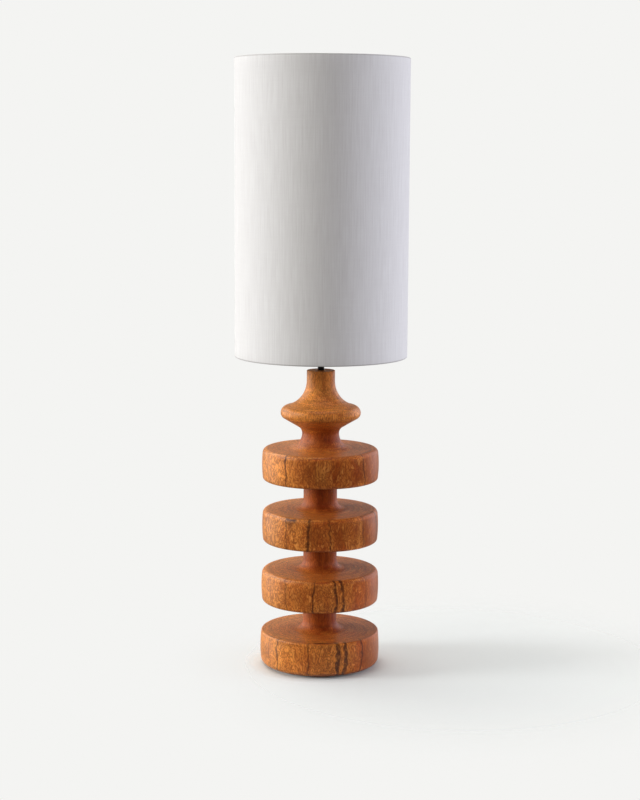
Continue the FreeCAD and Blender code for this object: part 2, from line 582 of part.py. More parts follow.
# Bulb: contact, glass insulator and screw cap, then the tubular glass with its stem and filaments.
bulb_contact = new_body("bulb_contact", BULB_BASE)
turn(bulb_contact, "contact_button", [
    ("0", "0"),
    ("lamp.bulb_contact_radius - lamp.bulb_contact_edge", "0"),
    ("lamp.bulb_contact_radius", "lamp.bulb_contact_edge"),
    ("lamp.bulb_contact_radius", "lamp.bulb_contact_height - lamp.laminate_gap"),
    ("0", "lamp.bulb_contact_height - lamp.laminate_gap"),
])
bulb_insulator = new_body("bulb_insulator", f"{BULB_BASE} + lamp.bulb_contact_height")
turn(bulb_insulator, "insulator_cone", [
    ("0", "0"),
    ("lamp.insulator_tip_radius", "0"),
    ("lamp.insulator_radius", "lamp.insulator_height"),
    ("0", "lamp.insulator_height"),
])
bulb_cap = new_body("bulb_cap", f"{BULB_BASE} + {BULB_CAP_BASE}")
turn(bulb_cap, "cap_cup", [
    ("lamp.bulb_cap_hole", "0"),
    ("lamp.insulator_radius", "0"),
    ("lamp.bulb_cap_radius", "lamp.bulb_cap_edge"),
    ("lamp.bulb_cap_radius", "lamp.bulb_cap_height"),
    ("lamp.bulb_cap_radius - lamp.bulb_cap_wall", "lamp.bulb_cap_height"),
    ("lamp.bulb_cap_radius - lamp.bulb_cap_wall", "lamp.bulb_cap_edge + lamp.bulb_cap_wall / 2"),
    ("lamp.insulator_radius - lamp.bulb_cap_wall / 2", "lamp.bulb_cap_wall"),
    ("lamp.bulb_cap_hole", "lamp.bulb_cap_wall"),
])
bulb_glass = new_body("bulb_glass", BULB_BASE)
NECK_TOP = f"({GLASS_BASE} + lamp.bulb_neck_height)"
SHOULDER_TOP = f"({NECK_TOP} + lamp.bulb_shoulder_height)"
DOME_BASE = "(lamp.bulb_length - lamp.bulb_radius)"
INNER_RADIUS = "(lamp.bulb_radius - lamp.glass_wall)"
NECK_RADIUS = "(lamp.bulb_cap_radius - lamp.bulb_cap_wall - lamp.bulb_neck_play)"
INNER_NECK = f"({NECK_RADIUS} - lamp.glass_wall)"
turn(bulb_glass, "glass_tube", [
    (INNER_NECK, GLASS_BASE),
    (NECK_RADIUS, GLASS_BASE),
    (NECK_RADIUS, NECK_TOP),
    ("lamp.bulb_radius", SHOULDER_TOP),
    ("lamp.bulb_radius", DOME_BASE),
    ("0", "lamp.bulb_length"),
    ("0", "lamp.bulb_length - lamp.glass_wall"),
    (INNER_RADIUS, DOME_BASE),
    (INNER_RADIUS, SHOULDER_TOP),
    (INNER_NECK, NECK_TOP),
], {4: ("lamp.bulb_radius", -1), 6: (INNER_RADIUS, 1)})
led_stem = new_body("led_stem", f"{BULB_BASE} + {GLASS_BASE}")
SPIDER_BASE = "(lamp.led_stem_height - lamp.led_spider_thick)"
STEM_FLANGE = f"{INNER_NECK} - lamp.led_flange_play"
turn(led_stem, "stem_turning", [
    ("0", "0"),
    (STEM_FLANGE, "0"),
    (STEM_FLANGE, "lamp.led_flange_thick"),
    ("lamp.led_stem_radius", "lamp.led_flange_thick"),
    ("lamp.led_stem_radius", SPIDER_BASE),
    ("lamp.led_spider_radius", SPIDER_BASE),
    ("lamp.led_spider_radius", "lamp.led_stem_height"),
    ("0", "lamp.led_stem_height"),
])
led_filaments = new_body("led_filaments",
                         f"{BULB_BASE} + {GLASS_BASE} + lamp.led_flange_thick + lamp.seat_gap")
filament = circle_sketch(led_filaments, "filament_circle", "lamp.filament_radius",
                         "lamp.filament_ring_radius")
first_filament = pad(led_filaments, "filament", filament,
                     f"{SPIDER_BASE} - lamp.led_flange_thick - 2 * lamp.seat_gap")
repeat_round(led_filaments, "filaments", first_filament, "lamp.filament_count")

# Shade: a flat fitter ring, spokes down to the lower wire ring, and a fabric drum laminated to a liner.
fitter_ring = new_body("fitter_ring", FITTER_BASE)
ring(fitter_ring, "fitter_disc", "lamp.skirt_thread_radius + lamp.fitter_play", "lamp.fitter_radius",
     "lamp.fitter_thick")

ARM_START = "(lamp.fitter_radius + lamp.wire_gap + lamp.arm_radius / 2)"
ARM_HEAD = f"({FITTER_BASE} + lamp.fitter_thick / 2)"
ARM_RUN = f"({WIRE_RING} - {ARM_START})"
ARM_DROP = f"({ARM_HEAD} - ({SHADE_BASE}) - {WIRE_LEVEL})"
FIRST_ARM_BEARING = 90
for arm in range(round(value("lamp.arm_count"))):
    bearing = f"({FIRST_ARM_BEARING} + 360 * {arm} / lamp.arm_count)"
    spoke = doc.addObject("Part::Cylinder", f"fitter_arm_{arm + 1}")
    spoke.Label = f"fitter_arm_{arm + 1}"
    spoke.setExpression("Radius", "lamp.arm_radius")
    spoke.setExpression("Height", f"sqrt({ARM_RUN} ^ 2 + {ARM_DROP} ^ 2) - lamp.wire_radius - lamp.wire_gap")
    direction = math.radians(value(bearing))
    across = FreeCAD.Vector(-math.sin(direction), math.cos(direction), 0)
    spoke.Placement.Rotation = FreeCAD.Rotation(across, 90)
    spoke.setExpression("Placement.Rotation.Angle", f"90 deg + atan({ARM_DROP} / {ARM_RUN})")
    spoke.setExpression("Placement.Base.x", f"{ARM_START} * cos({bearing})")
    spoke.setExpression("Placement.Base.y", f"{ARM_START} * sin({bearing})")
    spoke.setExpression("Placement.Base.z", ARM_HEAD)
    parts.append(spoke)

wire_rings = (("shade_bottom_ring", WIRE_LEVEL), ("shade_top_ring", f"lamp.shade_height - {WIRE_LEVEL}"))
for name, level in wire_rings:
    wire = doc.addObject("Part::Torus", name)
    wire.Label = name
    wire.setExpression("Radius1", WIRE_RING)
    wire.setExpression("Radius2", "lamp.wire_radius")
    wire.setExpression("Placement.Base.z", f"{SHADE_BASE} + {level}")
    parts.append(wire)

shade_liner = new_body("shade_liner", f"{SHADE_BASE} + lamp.liner_inset")
ring(shade_liner, "liner_tube", LINER_INNER, LINER_OUTER, "lamp.shade_height - 2 * lamp.liner_inset")

# The fabric is the outer skin, turned in over each wire ring, with a notch in the lower hem at each spoke.
shade_fabric = new_body("shade_fabric", SHADE_BASE)
turn(shade_fabric, "fabric_drum", [
    (HEM_INNER, "0"),
    ("lamp.shade_radius", "0"),
    ("lamp.shade_radius", "lamp.shade_height"),
    (HEM_INNER, "lamp.shade_height"),
    (HEM_INNER, "lamp.shade_height - lamp.hem_drop"),
    (HEM_OUTER, "lamp.shade_height - lamp.hem_drop"),
    (HEM_OUTER, "lamp.shade_height - lamp.fabric_thick"),
    (FABRIC_INNER, "lamp.shade_height - lamp.fabric_thick"),
    (FABRIC_INNER, "lamp.fabric_thick"),
    (HEM_OUTER, "lamp.fabric_thick"),
    (HEM_OUTER, "lamp.hem_drop"),
    (HEM_INNER, "lamp.hem_drop"),
])
notch = outline(shade_fabric, "hem_notch_outline", [
    ("-lamp.hem_notch / 2", f"{HEM_INNER} - lamp.wire_radius"),
    ("lamp.hem_notch / 2", f"{HEM_INNER} - lamp.wire_radius"),
    ("lamp.hem_notch / 2", f"{HEM_OUTER} + lamp.wire_gap"),
    ("-lamp.hem_notch / 2", f"{HEM_OUTER} + lamp.wire_gap"),
], plane="XY_Plane", offset="lamp.fabric_thick")
first_notch = cut(shade_fabric, "hem_notch", notch, "lamp.hem_drop", True)
repeat_round(shade_fabric, "hem_notches", first_notch, "lamp.arm_count")

doc.recompute()
for item in doc.Objects:
    if "Invalid" in item.State or "Error" in item.State:
        raise ValueError(f"{item.Name} failed: {item.State}")
for item in parts:
    if item.Shape.isNull() or not item.Shape.isValid() or not item.Shape.Solids:
        raise ValueError(f"{item.Label} has no valid shape")

os.makedirs("parts", exist_ok=True)
for item in parts:
    item.Shape.exportStep(f"parts/{item.Label}.step")
    box = item.Shape.BoundBox
    print(f"{item.Label}: {len(item.Shape.Solids)} solid(s), {item.Shape.Volume:.1f} mm3, "
          f"z {box.ZMin:.2f} to {box.ZMax:.2f}")
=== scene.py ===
import math

import bmesh
import bpy
from mathutils import Matrix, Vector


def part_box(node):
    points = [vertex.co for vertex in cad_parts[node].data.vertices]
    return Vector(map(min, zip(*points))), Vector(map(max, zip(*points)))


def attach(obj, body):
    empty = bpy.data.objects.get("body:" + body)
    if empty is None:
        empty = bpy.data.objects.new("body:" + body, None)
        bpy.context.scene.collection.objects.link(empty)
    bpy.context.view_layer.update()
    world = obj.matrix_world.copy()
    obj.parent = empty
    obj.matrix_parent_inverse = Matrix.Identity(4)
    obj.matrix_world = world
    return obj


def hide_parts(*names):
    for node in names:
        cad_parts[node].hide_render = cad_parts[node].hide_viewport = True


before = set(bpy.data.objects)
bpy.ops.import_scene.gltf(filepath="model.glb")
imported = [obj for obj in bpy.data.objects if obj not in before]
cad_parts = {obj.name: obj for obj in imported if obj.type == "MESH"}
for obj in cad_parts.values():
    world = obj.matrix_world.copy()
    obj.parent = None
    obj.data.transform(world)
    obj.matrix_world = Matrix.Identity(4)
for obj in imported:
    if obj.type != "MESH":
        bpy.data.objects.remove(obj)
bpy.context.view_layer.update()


# Camera: it stands 2.5 m in front of the lamp a little above the finial, looks slightly down, and leans by
# a fraction of a degree. Position, pitch, roll and lens come from the ellipses of the shade's two rims.
CAMERA_PLACE = (-0.00113, -2.51416, 0.7709)
CAMERA_PITCH_DOWN = 8.393
CAMERA_ROLL = 0.297
CAMERA_LENS = 77.28
CAMERA_SENSOR = 36

camera_data = bpy.data.cameras.new("camera")
camera_data.lens = CAMERA_LENS
camera_data.sensor_width = CAMERA_SENSOR
camera = bpy.data.objects.new("camera", camera_data)
camera.matrix_world = (Matrix.Translation(CAMERA_PLACE)
                       @ Matrix.Rotation(math.radians(90 - CAMERA_PITCH_DOWN), 4, "X")
                       @ Matrix.Rotation(math.radians(CAMERA_ROLL), 4, "Z"))
bpy.context.scene.collection.objects.link(camera)
bpy.context.scene.camera = camera
bpy.context.scene.view_settings.view_transform = "Standard"


# Column: four discs, the necks between them and the finial, turned from one block of figured hardwood,
# sanded and rubbed with a satin oil varnish. It stands for itself as the CAD made it.
MM = 0.001
WOOD_GOLD = "#F59E48"
WOOD_BROWN = "#B4571D"
WOOD_PALE = "#FFAE5E"
WOOD_LACE = "#823512"
WOOD_RED = "#AF591E"
WOOD_STREAK = "#3A180D"
# The cove colour is painted shade, multiplied into the necks and coves between the discs.
WOOD_COVE_SHADE = "#C4A48C"
# The figure's sizes in millimetres. The lace is the squiggles between the pale cells. Growth lines and rings
# have a width, a length round the trunk and a length up it.
LACE_WIDTH, LACE_HEIGHT, LACE_DEPTH = 3.2, 6.8, 3.4
FIBRE_WIDTH, FIBRE_LENGTH = 0.9, 16
GROWTH_WIDTH, GROWTH_DRIFT, GROWTH_RUN = 1.8, 50, 200
RING_WIDTH, RING_DRIFT, RING_RUN = 3.6, 30, 160
DRIFT_SIZE, WALL_BEND, WANDER_SIZE = 26, (14, 14, 26), 6
WOOD_RELIEF = 0.05
# How far the lace noise is from its middle value where a line ends, and where a pale cell begins and is full.
LACE_EDGE, CELL_FROM, CELL_FULL, CELL_MOST = 0.1, 0.06, 0.22, 0.55
LACE_IN_BAND, LACE_ELSEWHERE = 0.34, 0.66
# Millimetres from the axis, where a disc's side begins and where a cove's painted shade ends, and from the
# floor, where the painted shade in the coves stops below the finial. A cove is that much rougher too.
DISC_RADIUS = 87
SIDE_FROM, SIDE_TO = 74, 84
COVE_FROM, COVE_TO, COVE_DULL = 26, 46, 0.1
WAIST_FROM, WAIST_TO = 352, 372
# Across the column, from -1 at its left to 1 at its right: painted light that makes the left side paler, and
# the plain red band.
LEFT_LIGHT_FROM, LEFT_LIGHT_TO, LEFT_LIGHT_MOST, PALE_BELOW_WAIST = -0.8, 0.12, 0.62, -0.3
BAND_FROM, BAND_TO, BAND_WANDER = 0.78, 0.88, 0.16
# A streak's darkest tone, its half width as a share of the width listed below, its lean and wander in
# radians, and an edge line's wander in millimetres.
STREAK_FULL, STREAK_HALF = 0.85, 0.85
STREAK_LEAN, STREAK_WANDER, EDGE_WANDER = 0.2, 0.05, 6.0
# Dark mineral streaks on each disc's side, by its height range in metres, foot first: bearing from the
# front in degrees (right is positive), width in millimetres and strength.
STREAKS = {
    (-0.001, 0.074): [(-59, 2.2, 0.35), (-45, 2.4, 0.55), (-11.8, 2.2, 0.75), (17.3, 4.2, 0.95),
                      (24.1, 4.0, 1.0), (36, 1.6, 0.4), (44.6, 2.6, 0.7), (118, 3.5, 0.8), (171, 2.5, 0.6)],
    (0.074, 0.167): [(-54, 2.4, 0.4), (-34.8, 2.2, 0.6), (-5.6, 2.2, 0.6), (15, 2.8, 0.9),
                     (21.8, 2.6, 0.85), (50, 2.4, 0.55), (112, 3.0, 0.7), (166, 2.5, 0.6)],
    (0.167, 0.26): [(-66.5, 2.4, 0.5), (-35.5, 2.2, 0.65), (-11.5, 3.4, 0.85), (10, 2.4, 0.5),
                    (48.4, 2.4, 0.6), (74, 3.0, 0.8), (124, 3.0, 0.7), (-150, 2.5, 0.6)],
    (0.26, 0.34): [(-64, 2.2, 0.4), (-35.3, 2.6, 0.8), (-11.7, 1.8, 0.45), (47.9, 2.6, 0.6),
                   (66, 2.0, 0.3), (121, 2.6, 0.6), (-142, 2.4, 0.5)],
}
# Short dark grain lines along the front edge of a disc's top: height range in metres, radius and half
# width in millimetres, first and last bearing in degrees, and strength.
EDGE_LINES = (((0.04, 0.09), 81.0, 4.5, -8, 17, 0.95), ((0.2, 0.26), 84.5, 2.8, -36, -22, 0.9),
              ((0.12, 0.167), 81.0, 3.0, 8, 24, 0.6), ((0.28, 0.34), 76.0, 3.0, 52, 82, 0.6))


def linear(hex_colour):
    """An sRGB hex colour as the linear values that shaders take."""
    channels = [int(hex_colour[start:start + 2], 16) / 255 for start in (1, 3, 5)]
    return [c / 12.92 if c <= 0.04045 else ((c + 0.055) / 1.055) ** 2.4 for c in channels] + [1]


def add_node(tree, kind, inputs=None, **settings):
    """Adds a node. Each input takes a plain value, a socket, or a node for its first output in use."""
    node = tree.nodes.new(kind)
    for name, setting in settings.items():
        setattr(node, name, setting)
    for name, source in (inputs or {}).items():
        sockets = [socket for socket in node.inputs if socket.enabled]
        socket = sockets[name] if isinstance(name, int) else next(s for s in sockets if s.name == name)
        if isinstance(source, bpy.types.Node):
            source = next(output for output in source.outputs if output.enabled)
        if isinstance(source, bpy.types.NodeSocket):
            tree.links.new(source, socket)
        else:
            socket.default_value = source
    return node


def new_material(name):
    material = bpy.data.materials.new(name)
    material.use_nodes = True
    material.node_tree.nodes.clear()
    return material, material.node_tree


def dress(material, *nodes):
    """Gives CAD nodes a material, with their shapes left as they are."""
    for name in nodes:
        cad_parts[name].material_slots[0].material = material


# Satin oil varnish on a lacy figured hardwood: orange-gold cells between red-brown squiggles that stand
# upright, fine fibre lines, dark mineral streaks, and a plainer red band on the right.
wood, tree = new_material("oiled_figured_hardwood")
place = add_node(tree, "ShaderNodeTexCoord").outputs["Object"]
mm = add_node(tree, "ShaderNodeVectorMath", {"Vector": place, "Scale": 1 / MM}, operation="SCALE")
axes = add_node(tree, "ShaderNodeSeparateXYZ", {"Vector": mm})
across, depth, height = (axes.outputs[axis] for axis in "XYZ")
level = add_node(tree, "ShaderNodeCombineXYZ", {"X": across, "Y": depth})
radius = add_node(tree, "ShaderNodeVectorMath", {"Vector": level}, operation="LENGTH")
outward = add_node(tree, "ShaderNodeVectorMath", {"Vector": level}, operation="NORMALIZE")
front = add_node(tree, "ShaderNodeMath", {0: depth, 1: -1}, operation="MULTIPLY")
bearing = add_node(tree, "ShaderNodeMath", {0: across, 1: front}, operation="ARCTAN2")

drift = add_node(tree, "ShaderNodeTexNoise", {"Vector": mm, "Scale": 1 / DRIFT_SIZE, "Detail": 2})
drift_centred = add_node(tree, "ShaderNodeVectorMath",
                         {0: drift.outputs["Color"], 1: (0.5, 0.5, 0.5)}, operation="SUBTRACT")
upright = add_node(tree, "ShaderNodeCombineXYZ", {"Z": height})
wall = add_node(tree, "ShaderNodeVectorMath", {0: outward, 1: (DISC_RADIUS,) * 3, 2: upright},
                operation="MULTIPLY_ADD")
bent_wall = add_node(tree, "ShaderNodeVectorMath", {0: drift_centred, 1: WALL_BEND, 2: wall},
                     operation="MULTIPLY_ADD")
lace_place = add_node(tree, "ShaderNodeVectorMath",
                      {0: bent_wall, 1: (1 / LACE_WIDTH, 1 / LACE_WIDTH, 1 / LACE_HEIGHT)},
                      operation="MULTIPLY")
lace_layer = add_node(tree, "ShaderNodeMath", {0: radius, 1: LACE_DEPTH}, operation="DIVIDE")
lace_noise = add_node(tree, "ShaderNodeTexNoise",
                      {"Vector": lace_place, "W": lace_layer, "Scale": 1, "Detail": 1.5, "Roughness": 0.55,
                       "Distortion": 0.5}, noise_dimensions="4D")
lace_offset = add_node(tree, "ShaderNodeMath", {0: lace_noise.outputs["Fac"], 1: 0.5}, operation="SUBTRACT")
lace_away = add_node(tree, "ShaderNodeMath", {0: lace_offset}, operation="ABSOLUTE")
lace_line = add_node(tree, "ShaderNodeMapRange",
                     {"Value": lace_away, "From Min": 0.0, "From Max": LACE_EDGE, "To Min": 1.0,
                      "To Max": 0.0}, interpolation_type="SMOOTHSTEP")
fibre_place = add_node(tree, "ShaderNodeVectorMath",
                       {0: mm, 1: (1 / FIBRE_WIDTH, 1 / FIBRE_WIDTH, 1 / FIBRE_LENGTH)}, operation="MULTIPLY")
fibre = add_node(tree, "ShaderNodeTexNoise",
                 {"Vector": fibre_place, "Scale": 1, "Detail": 3, "Roughness": 0.6})
ring_place = add_node(tree, "ShaderNodeVectorMath",
                      {0: bent_wall, 1: (1 / RING_DRIFT, 1 / RING_DRIFT, 1 / RING_RUN)}, operation="MULTIPLY")
ring_layer = add_node(tree, "ShaderNodeMath", {0: radius, 1: RING_WIDTH}, operation="DIVIDE")
rings = add_node(tree, "ShaderNodeTexNoise",
                 {"Vector": ring_place, "W": ring_layer, "Scale": 1, "Detail": 3, "Roughness": 0.6},
                 noise_dimensions="4D")

# The plain red band lies to the right of a line about 47 degrees from the front.
side = add_node(tree, "ShaderNodeMath", {0: across, 1: radius}, operation="DIVIDE")
band_wander = add_node(tree, "ShaderNodeMath", {0: drift.outputs["Fac"], 1: BAND_WANDER, 2: side},
                       operation="MULTIPLY_ADD")
band_right = add_node(tree, "ShaderNodeMapRange",
                      {"Value": band_wander, "From Min": BAND_FROM, "From Max": BAND_TO},
                      interpolation_type="SMOOTHSTEP")
outer_part = add_node(tree, "ShaderNodeMapRange",
                      {"Value": radius, "From Min": SIDE_FROM, "From Max": SIDE_TO},
                      interpolation_type="SMOOTHSTEP")
red_band = add_node(tree, "ShaderNodeMath", {0: band_right, 1: outer_part}, operation="MULTIPLY")
plain = add_node(tree, "ShaderNodeMath", {0: 1, 1: red_band}, operation="SUBTRACT")

streak_wander = add_node(tree, "ShaderNodeTexNoise",
                         {"Vector": mm, "Scale": 1 / WANDER_SIZE, "Detail": 3, "Roughness": 0.7})
streak_shift = add_node(tree, "ShaderNodeMath", {0: streak_wander.outputs["Fac"], 1: 0.5},
                        operation="SUBTRACT")
streak_lean = add_node(tree, "ShaderNodeMath", {0: drift.outputs["Fac"], 1: 0.5}, operation="SUBTRACT")
leaning = add_node(tree, "ShaderNodeMath", {0: streak_lean, 1: STREAK_LEAN, 2: bearing},
                   operation="MULTIPLY_ADD")
streak_bearing = add_node(tree, "ShaderNodeMath", {0: streak_shift, 1: STREAK_WANDER, 2: leaning},
                          operation="MULTIPLY_ADD")
streak_position = add_node(tree, "ShaderNodeMapRange",
                           {"Value": streak_bearing, "From Min": -math.pi, "From Max": math.pi})
streaks = None
for (low, high), marks in STREAKS.items():
    ramp = add_node(tree, "ShaderNodeValToRGB", {"Fac": streak_position})
    stops = ramp.color_ramp.elements
    stops.remove(stops[1])
    stops[0].position, stops[0].color = 0, (0, 0, 0, 1)
    for degrees, width, strength in sorted(marks):
        centre = 0.5 + degrees / 360
        half = STREAK_HALF * width / (2 * math.pi * DISC_RADIUS)
        for position, depth_of_tone in ((centre - half, 0), (centre, strength), (centre + half, 0)):
            stops.new(position).color = (depth_of_tone,) * 3 + (1,)
    inside = add_node(tree, "ShaderNodeMath",
                      {0: height, 1: (low + high) / 2 / MM, 2: (high - low) / 2 / MM}, operation="COMPARE")
    share = add_node(tree, "ShaderNodeMath", {0: ramp, 1: inside}, operation="MULTIPLY")
    streaks = share if streaks is None else add_node(tree, "ShaderNodeMath", {0: streaks, 1: share})
patchy = add_node(tree, "ShaderNodeMapRange",
                  {"Value": streak_wander.outputs["Fac"], "From Min": 0.36, "From Max": 0.54, "To Min": 0.6,
                   "To Max": 1.0})
streak_full = add_node(tree, "ShaderNodeMapRange",
                       {"Value": streaks, "From Min": 0.08, "From Max": 0.5, "To Max": STREAK_FULL},
                       interpolation_type="SMOOTHSTEP")
streak_amount = add_node(tree, "ShaderNodeMath", {0: streak_full, 1: outer_part}, operation="MULTIPLY")
edge_lines = streak_amount
edge_radius = add_node(tree, "ShaderNodeMath", {0: streak_shift, 1: EDGE_WANDER, 2: radius},
                       operation="MULTIPLY_ADD")
for (low, high), line_radius, half_width, first, last, strength in EDGE_LINES:
    off_line = add_node(tree, "ShaderNodeMath", {0: edge_radius, 1: line_radius}, operation="SUBTRACT")
    off_line = add_node(tree, "ShaderNodeMath", {0: off_line}, operation="ABSOLUTE")
    across_line = add_node(tree, "ShaderNodeMapRange",
                           {"Value": off_line, "From Max": half_width, "To Min": strength, "To Max": 0.0},
                           interpolation_type="SMOOTHSTEP")
    line_middle, half_length = math.radians((first + last) / 2), math.radians((last - first) / 2)
    off_middle = add_node(tree, "ShaderNodeMath", {0: streak_bearing, 1: line_middle}, operation="SUBTRACT")
    off_middle = add_node(tree, "ShaderNodeMath", {0: off_middle}, operation="ABSOLUTE")
    along_line = add_node(tree, "ShaderNodeMapRange",
                          {"Value": off_middle, "From Min": 0.6 * half_length, "From Max": half_length,
                           "To Min": 1.0, "To Max": 0.0}, interpolation_type="SMOOTHSTEP")
    inside = add_node(tree, "ShaderNodeMath",
                      {0: height, 1: (low + high) / 2 / MM, 2: (high - low) / 2 / MM}, operation="COMPARE")
    share = add_node(tree, "ShaderNodeMath", {0: across_line, 1: along_line}, operation="MULTIPLY")
    edge_lines = add_node(tree, "ShaderNodeMath", {0: share, 1: inside, 2: edge_lines},
                          operation="MULTIPLY_ADD", use_clamp=True)
streak_tone = add_node(tree, "ShaderNodeMath", {0: edge_lines, 1: patchy}, operation="MULTIPLY")

below_waist = add_node(tree, "ShaderNodeMapRange",
                       {"Value": height, "From Min": WAIST_FROM, "From Max": WAIST_TO, "To Min": 1.0,
                        "To Max": 0.0}, interpolation_type="SMOOTHSTEP")
# Painted light makes the wood paler on its lit left side and browner towards the front and the right; the
# finial is paler in its own tone.
painted_left_light = add_node(tree, "ShaderNodeMapRange",
                     {"Value": side, "From Min": LEFT_LIGHT_FROM, "From Max": LEFT_LIGHT_TO, "To Min": LEFT_LIGHT_MOST,
                      "To Max": 0.0}, interpolation_type="SMOOTHSTEP")
painted_light_and_pale_finial = add_node(tree, "ShaderNodeMath", {0: below_waist, 1: PALE_BELOW_WAIST, 2: painted_left_light},
                      operation="MULTIPLY_ADD")
ring_tone = add_node(tree, "ShaderNodeMapRange",
                     {"Value": rings.outputs["Fac"], "From Min": 0.37, "From Max": 0.62, "To Min": 0.3,
                      "To Max": 0.85})
ground_mix = add_node(tree, "ShaderNodeMath", {0: ring_tone, 1: painted_light_and_pale_finial}, use_clamp=True)
ground = add_node(tree, "ShaderNodeMix",
                  {"Factor": ground_mix, "A": linear(WOOD_BROWN), "B": linear(WOOD_GOLD)}, data_type="RGBA")
reddened = add_node(tree, "ShaderNodeMix", {"Factor": red_band, "A": ground, "B": linear(WOOD_RED)},
                    data_type="RGBA")
lace_strength = add_node(tree, "ShaderNodeMapRange",
                         {"Value": plain, "To Min": LACE_IN_BAND, "To Max": LACE_ELSEWHERE})
pale_cells = add_node(tree, "ShaderNodeMapRange",
                      {"Value": lace_offset, "From Min": CELL_FROM, "From Max": CELL_FULL,
                       "To Max": CELL_MOST}, interpolation_type="SMOOTHSTEP")
pale_amount = add_node(tree, "ShaderNodeMath", {0: pale_cells, 1: lace_strength}, operation="MULTIPLY")
celled = add_node(tree, "ShaderNodeMix", {"Factor": pale_amount, "A": reddened, "B": linear(WOOD_PALE)},
                  data_type="RGBA")
lace_amount = add_node(tree, "ShaderNodeMath", {0: lace_line, 1: lace_strength}, operation="MULTIPLY")
laced = add_node(tree, "ShaderNodeMix", {"Factor": lace_amount, "A": celled, "B": linear(WOOD_LACE)},
                 data_type="RGBA")
fibre_tone = add_node(tree, "ShaderNodeMapRange",
                      {"Value": fibre.outputs["Fac"], "From Min": 0.3, "From Max": 0.7, "To Min": 0.78,
                       "To Max": 1.16})
growth_place = add_node(tree, "ShaderNodeVectorMath",
                        {0: bent_wall, 1: (1 / GROWTH_DRIFT, 1 / GROWTH_DRIFT, 1 / GROWTH_RUN)},
                        operation="MULTIPLY")
growth_layer = add_node(tree, "ShaderNodeMath", {0: radius, 1: GROWTH_WIDTH}, operation="DIVIDE")
growth = add_node(tree, "ShaderNodeTexNoise",
                  {"Vector": growth_place, "W": growth_layer, "Scale": 1, "Detail": 2, "Roughness": 0.5},
                  noise_dimensions="4D")
growth_tone = add_node(tree, "ShaderNodeMapRange",
                       {"Value": growth.outputs["Fac"], "From Min": 0.34, "From Max": 0.6, "To Min": 0.8,
                        "To Max": 1.12})
grain_tone = add_node(tree, "ShaderNodeMath", {0: fibre_tone, 1: growth_tone}, operation="MULTIPLY")
fibred = add_node(tree, "ShaderNodeVectorMath", {"Vector": laced, "Scale": grain_tone}, operation="SCALE")
streaked = add_node(tree, "ShaderNodeMix", {"Factor": streak_tone, "A": fibred, "B": linear(WOOD_STREAK)},
                    data_type="RGBA")
# Painted shade: below the waist, the necks and coves between the discs darken towards the axis, where the
# discs shade them.
near_axis = add_node(tree, "ShaderNodeMapRange",
                     {"Value": radius, "From Min": COVE_FROM, "From Max": COVE_TO, "To Min": 1.0,
                      "To Max": 0.0}, interpolation_type="SMOOTHSTEP")
cove_shade_and_dull = add_node(tree, "ShaderNodeMath", {0: near_axis, 1: below_waist}, operation="MULTIPLY")
wood_colour = add_node(tree, "ShaderNodeMix", {"Factor": cove_shade_and_dull, "A": streaked, "B": linear(WOOD_COVE_SHADE)},
                       data_type="RGBA", blend_type="MULTIPLY")
wood_gloss = add_node(tree, "ShaderNodeMapRange",
                      {"Value": fibre.outputs["Fac"], "From Min": 0.3, "From Max": 0.7, "To Min": 0.30,
                       "To Max": 0.40})
wood_dulled = add_node(tree, "ShaderNodeMath", {0: cove_shade_and_dull, 1: COVE_DULL, 2: wood_gloss},
                       operation="MULTIPLY_ADD")
wood_relief = add_node(tree, "ShaderNodeMath", {0: fibre.outputs["Fac"], 1: lace_line}, operation="SUBTRACT")
wood_bump = add_node(tree, "ShaderNodeBump",
                     {"Height": wood_relief, "Distance": WOOD_RELIEF * MM, "Strength": 1})
wood_surface = add_node(tree, "ShaderNodeBsdfPrincipled",
                        {"Base Color": wood_colour, "Roughness": wood_dulled, "Normal": wood_bump, "IOR": 1.5,
                         "Specular IOR Level": 0.5})
add_node(tree, "ShaderNodeOutputMaterial", {"Surface": wood_surface})
dress(wood, "column")


# Foot hardware: a felt disc glued under the foot, and above it the washer, the spring washer and the nut
# that pull the steel tube tight. They are pressed, wound and forged steel with a bright zinc plate.
CLOUD_SCALE = 0.08


def grained_material(name, light, dark, grain, relief, stretch=(1, 1, 1), roughness=(0.4, 0.5), **sockets):
    """A material that drifts between two tones over a surface grain of a real size in millimetres.

    stretch is the grain's length on each axis against its width, and sockets are set on the shader."""
    material, tree = new_material(name)
    place = add_node(tree, "ShaderNodeTexCoord").outputs["Object"]
    scale = [1 / (MM * grain * length) for length in stretch]
    spread = add_node(tree, "ShaderNodeVectorMath", {0: place, 1: scale}, operation="MULTIPLY")
    noise = add_node(tree, "ShaderNodeTexNoise", {"Vector": spread, "Scale": 1, "Detail": 3}).outputs["Fac"]
    cloud = add_node(tree, "ShaderNodeTexNoise", {"Vector": spread, "Scale": CLOUD_SCALE, "Detail": 2})
    blend = add_node(tree, "ShaderNodeMath", {0: noise, 1: cloud.outputs["Fac"]})
    factor = add_node(tree, "ShaderNodeMapRange", {"Value": blend, "From Min": 0.7, "From Max": 1.3})
    tone = add_node(tree, "ShaderNodeMix", {"Factor": factor, "A": linear(dark), "B": linear(light)},
                    data_type="RGBA")
    gloss = add_node(tree, "ShaderNodeMapRange",
                     {"Value": factor, "To Min": roughness[0], "To Max": roughness[1]})
    bump = add_node(tree, "ShaderNodeBump", {"Height": noise, "Distance": relief * MM, "Strength": 1})
    inputs = {"Base Color": tone, "Roughness": gloss, "Normal": bump}
    inputs.update({socket.replace("_", " "): setting for socket, setting in sockets.items()})
    surface = add_node(tree, "ShaderNodeBsdfPrincipled", inputs)
    add_node(tree, "ShaderNodeOutputMaterial", {"Surface": surface})
    return material


# Pressed wool felt: matt, near black, with loose fibres that catch a little light at a flat angle.
felt = grained_material("pressed_felt", "#2B2A29", "#141414", 0.5, 0.25, roughness=(0.95, 1.0),
                        Sheen_Weight=0.3)
dress(felt, "foot_felt")

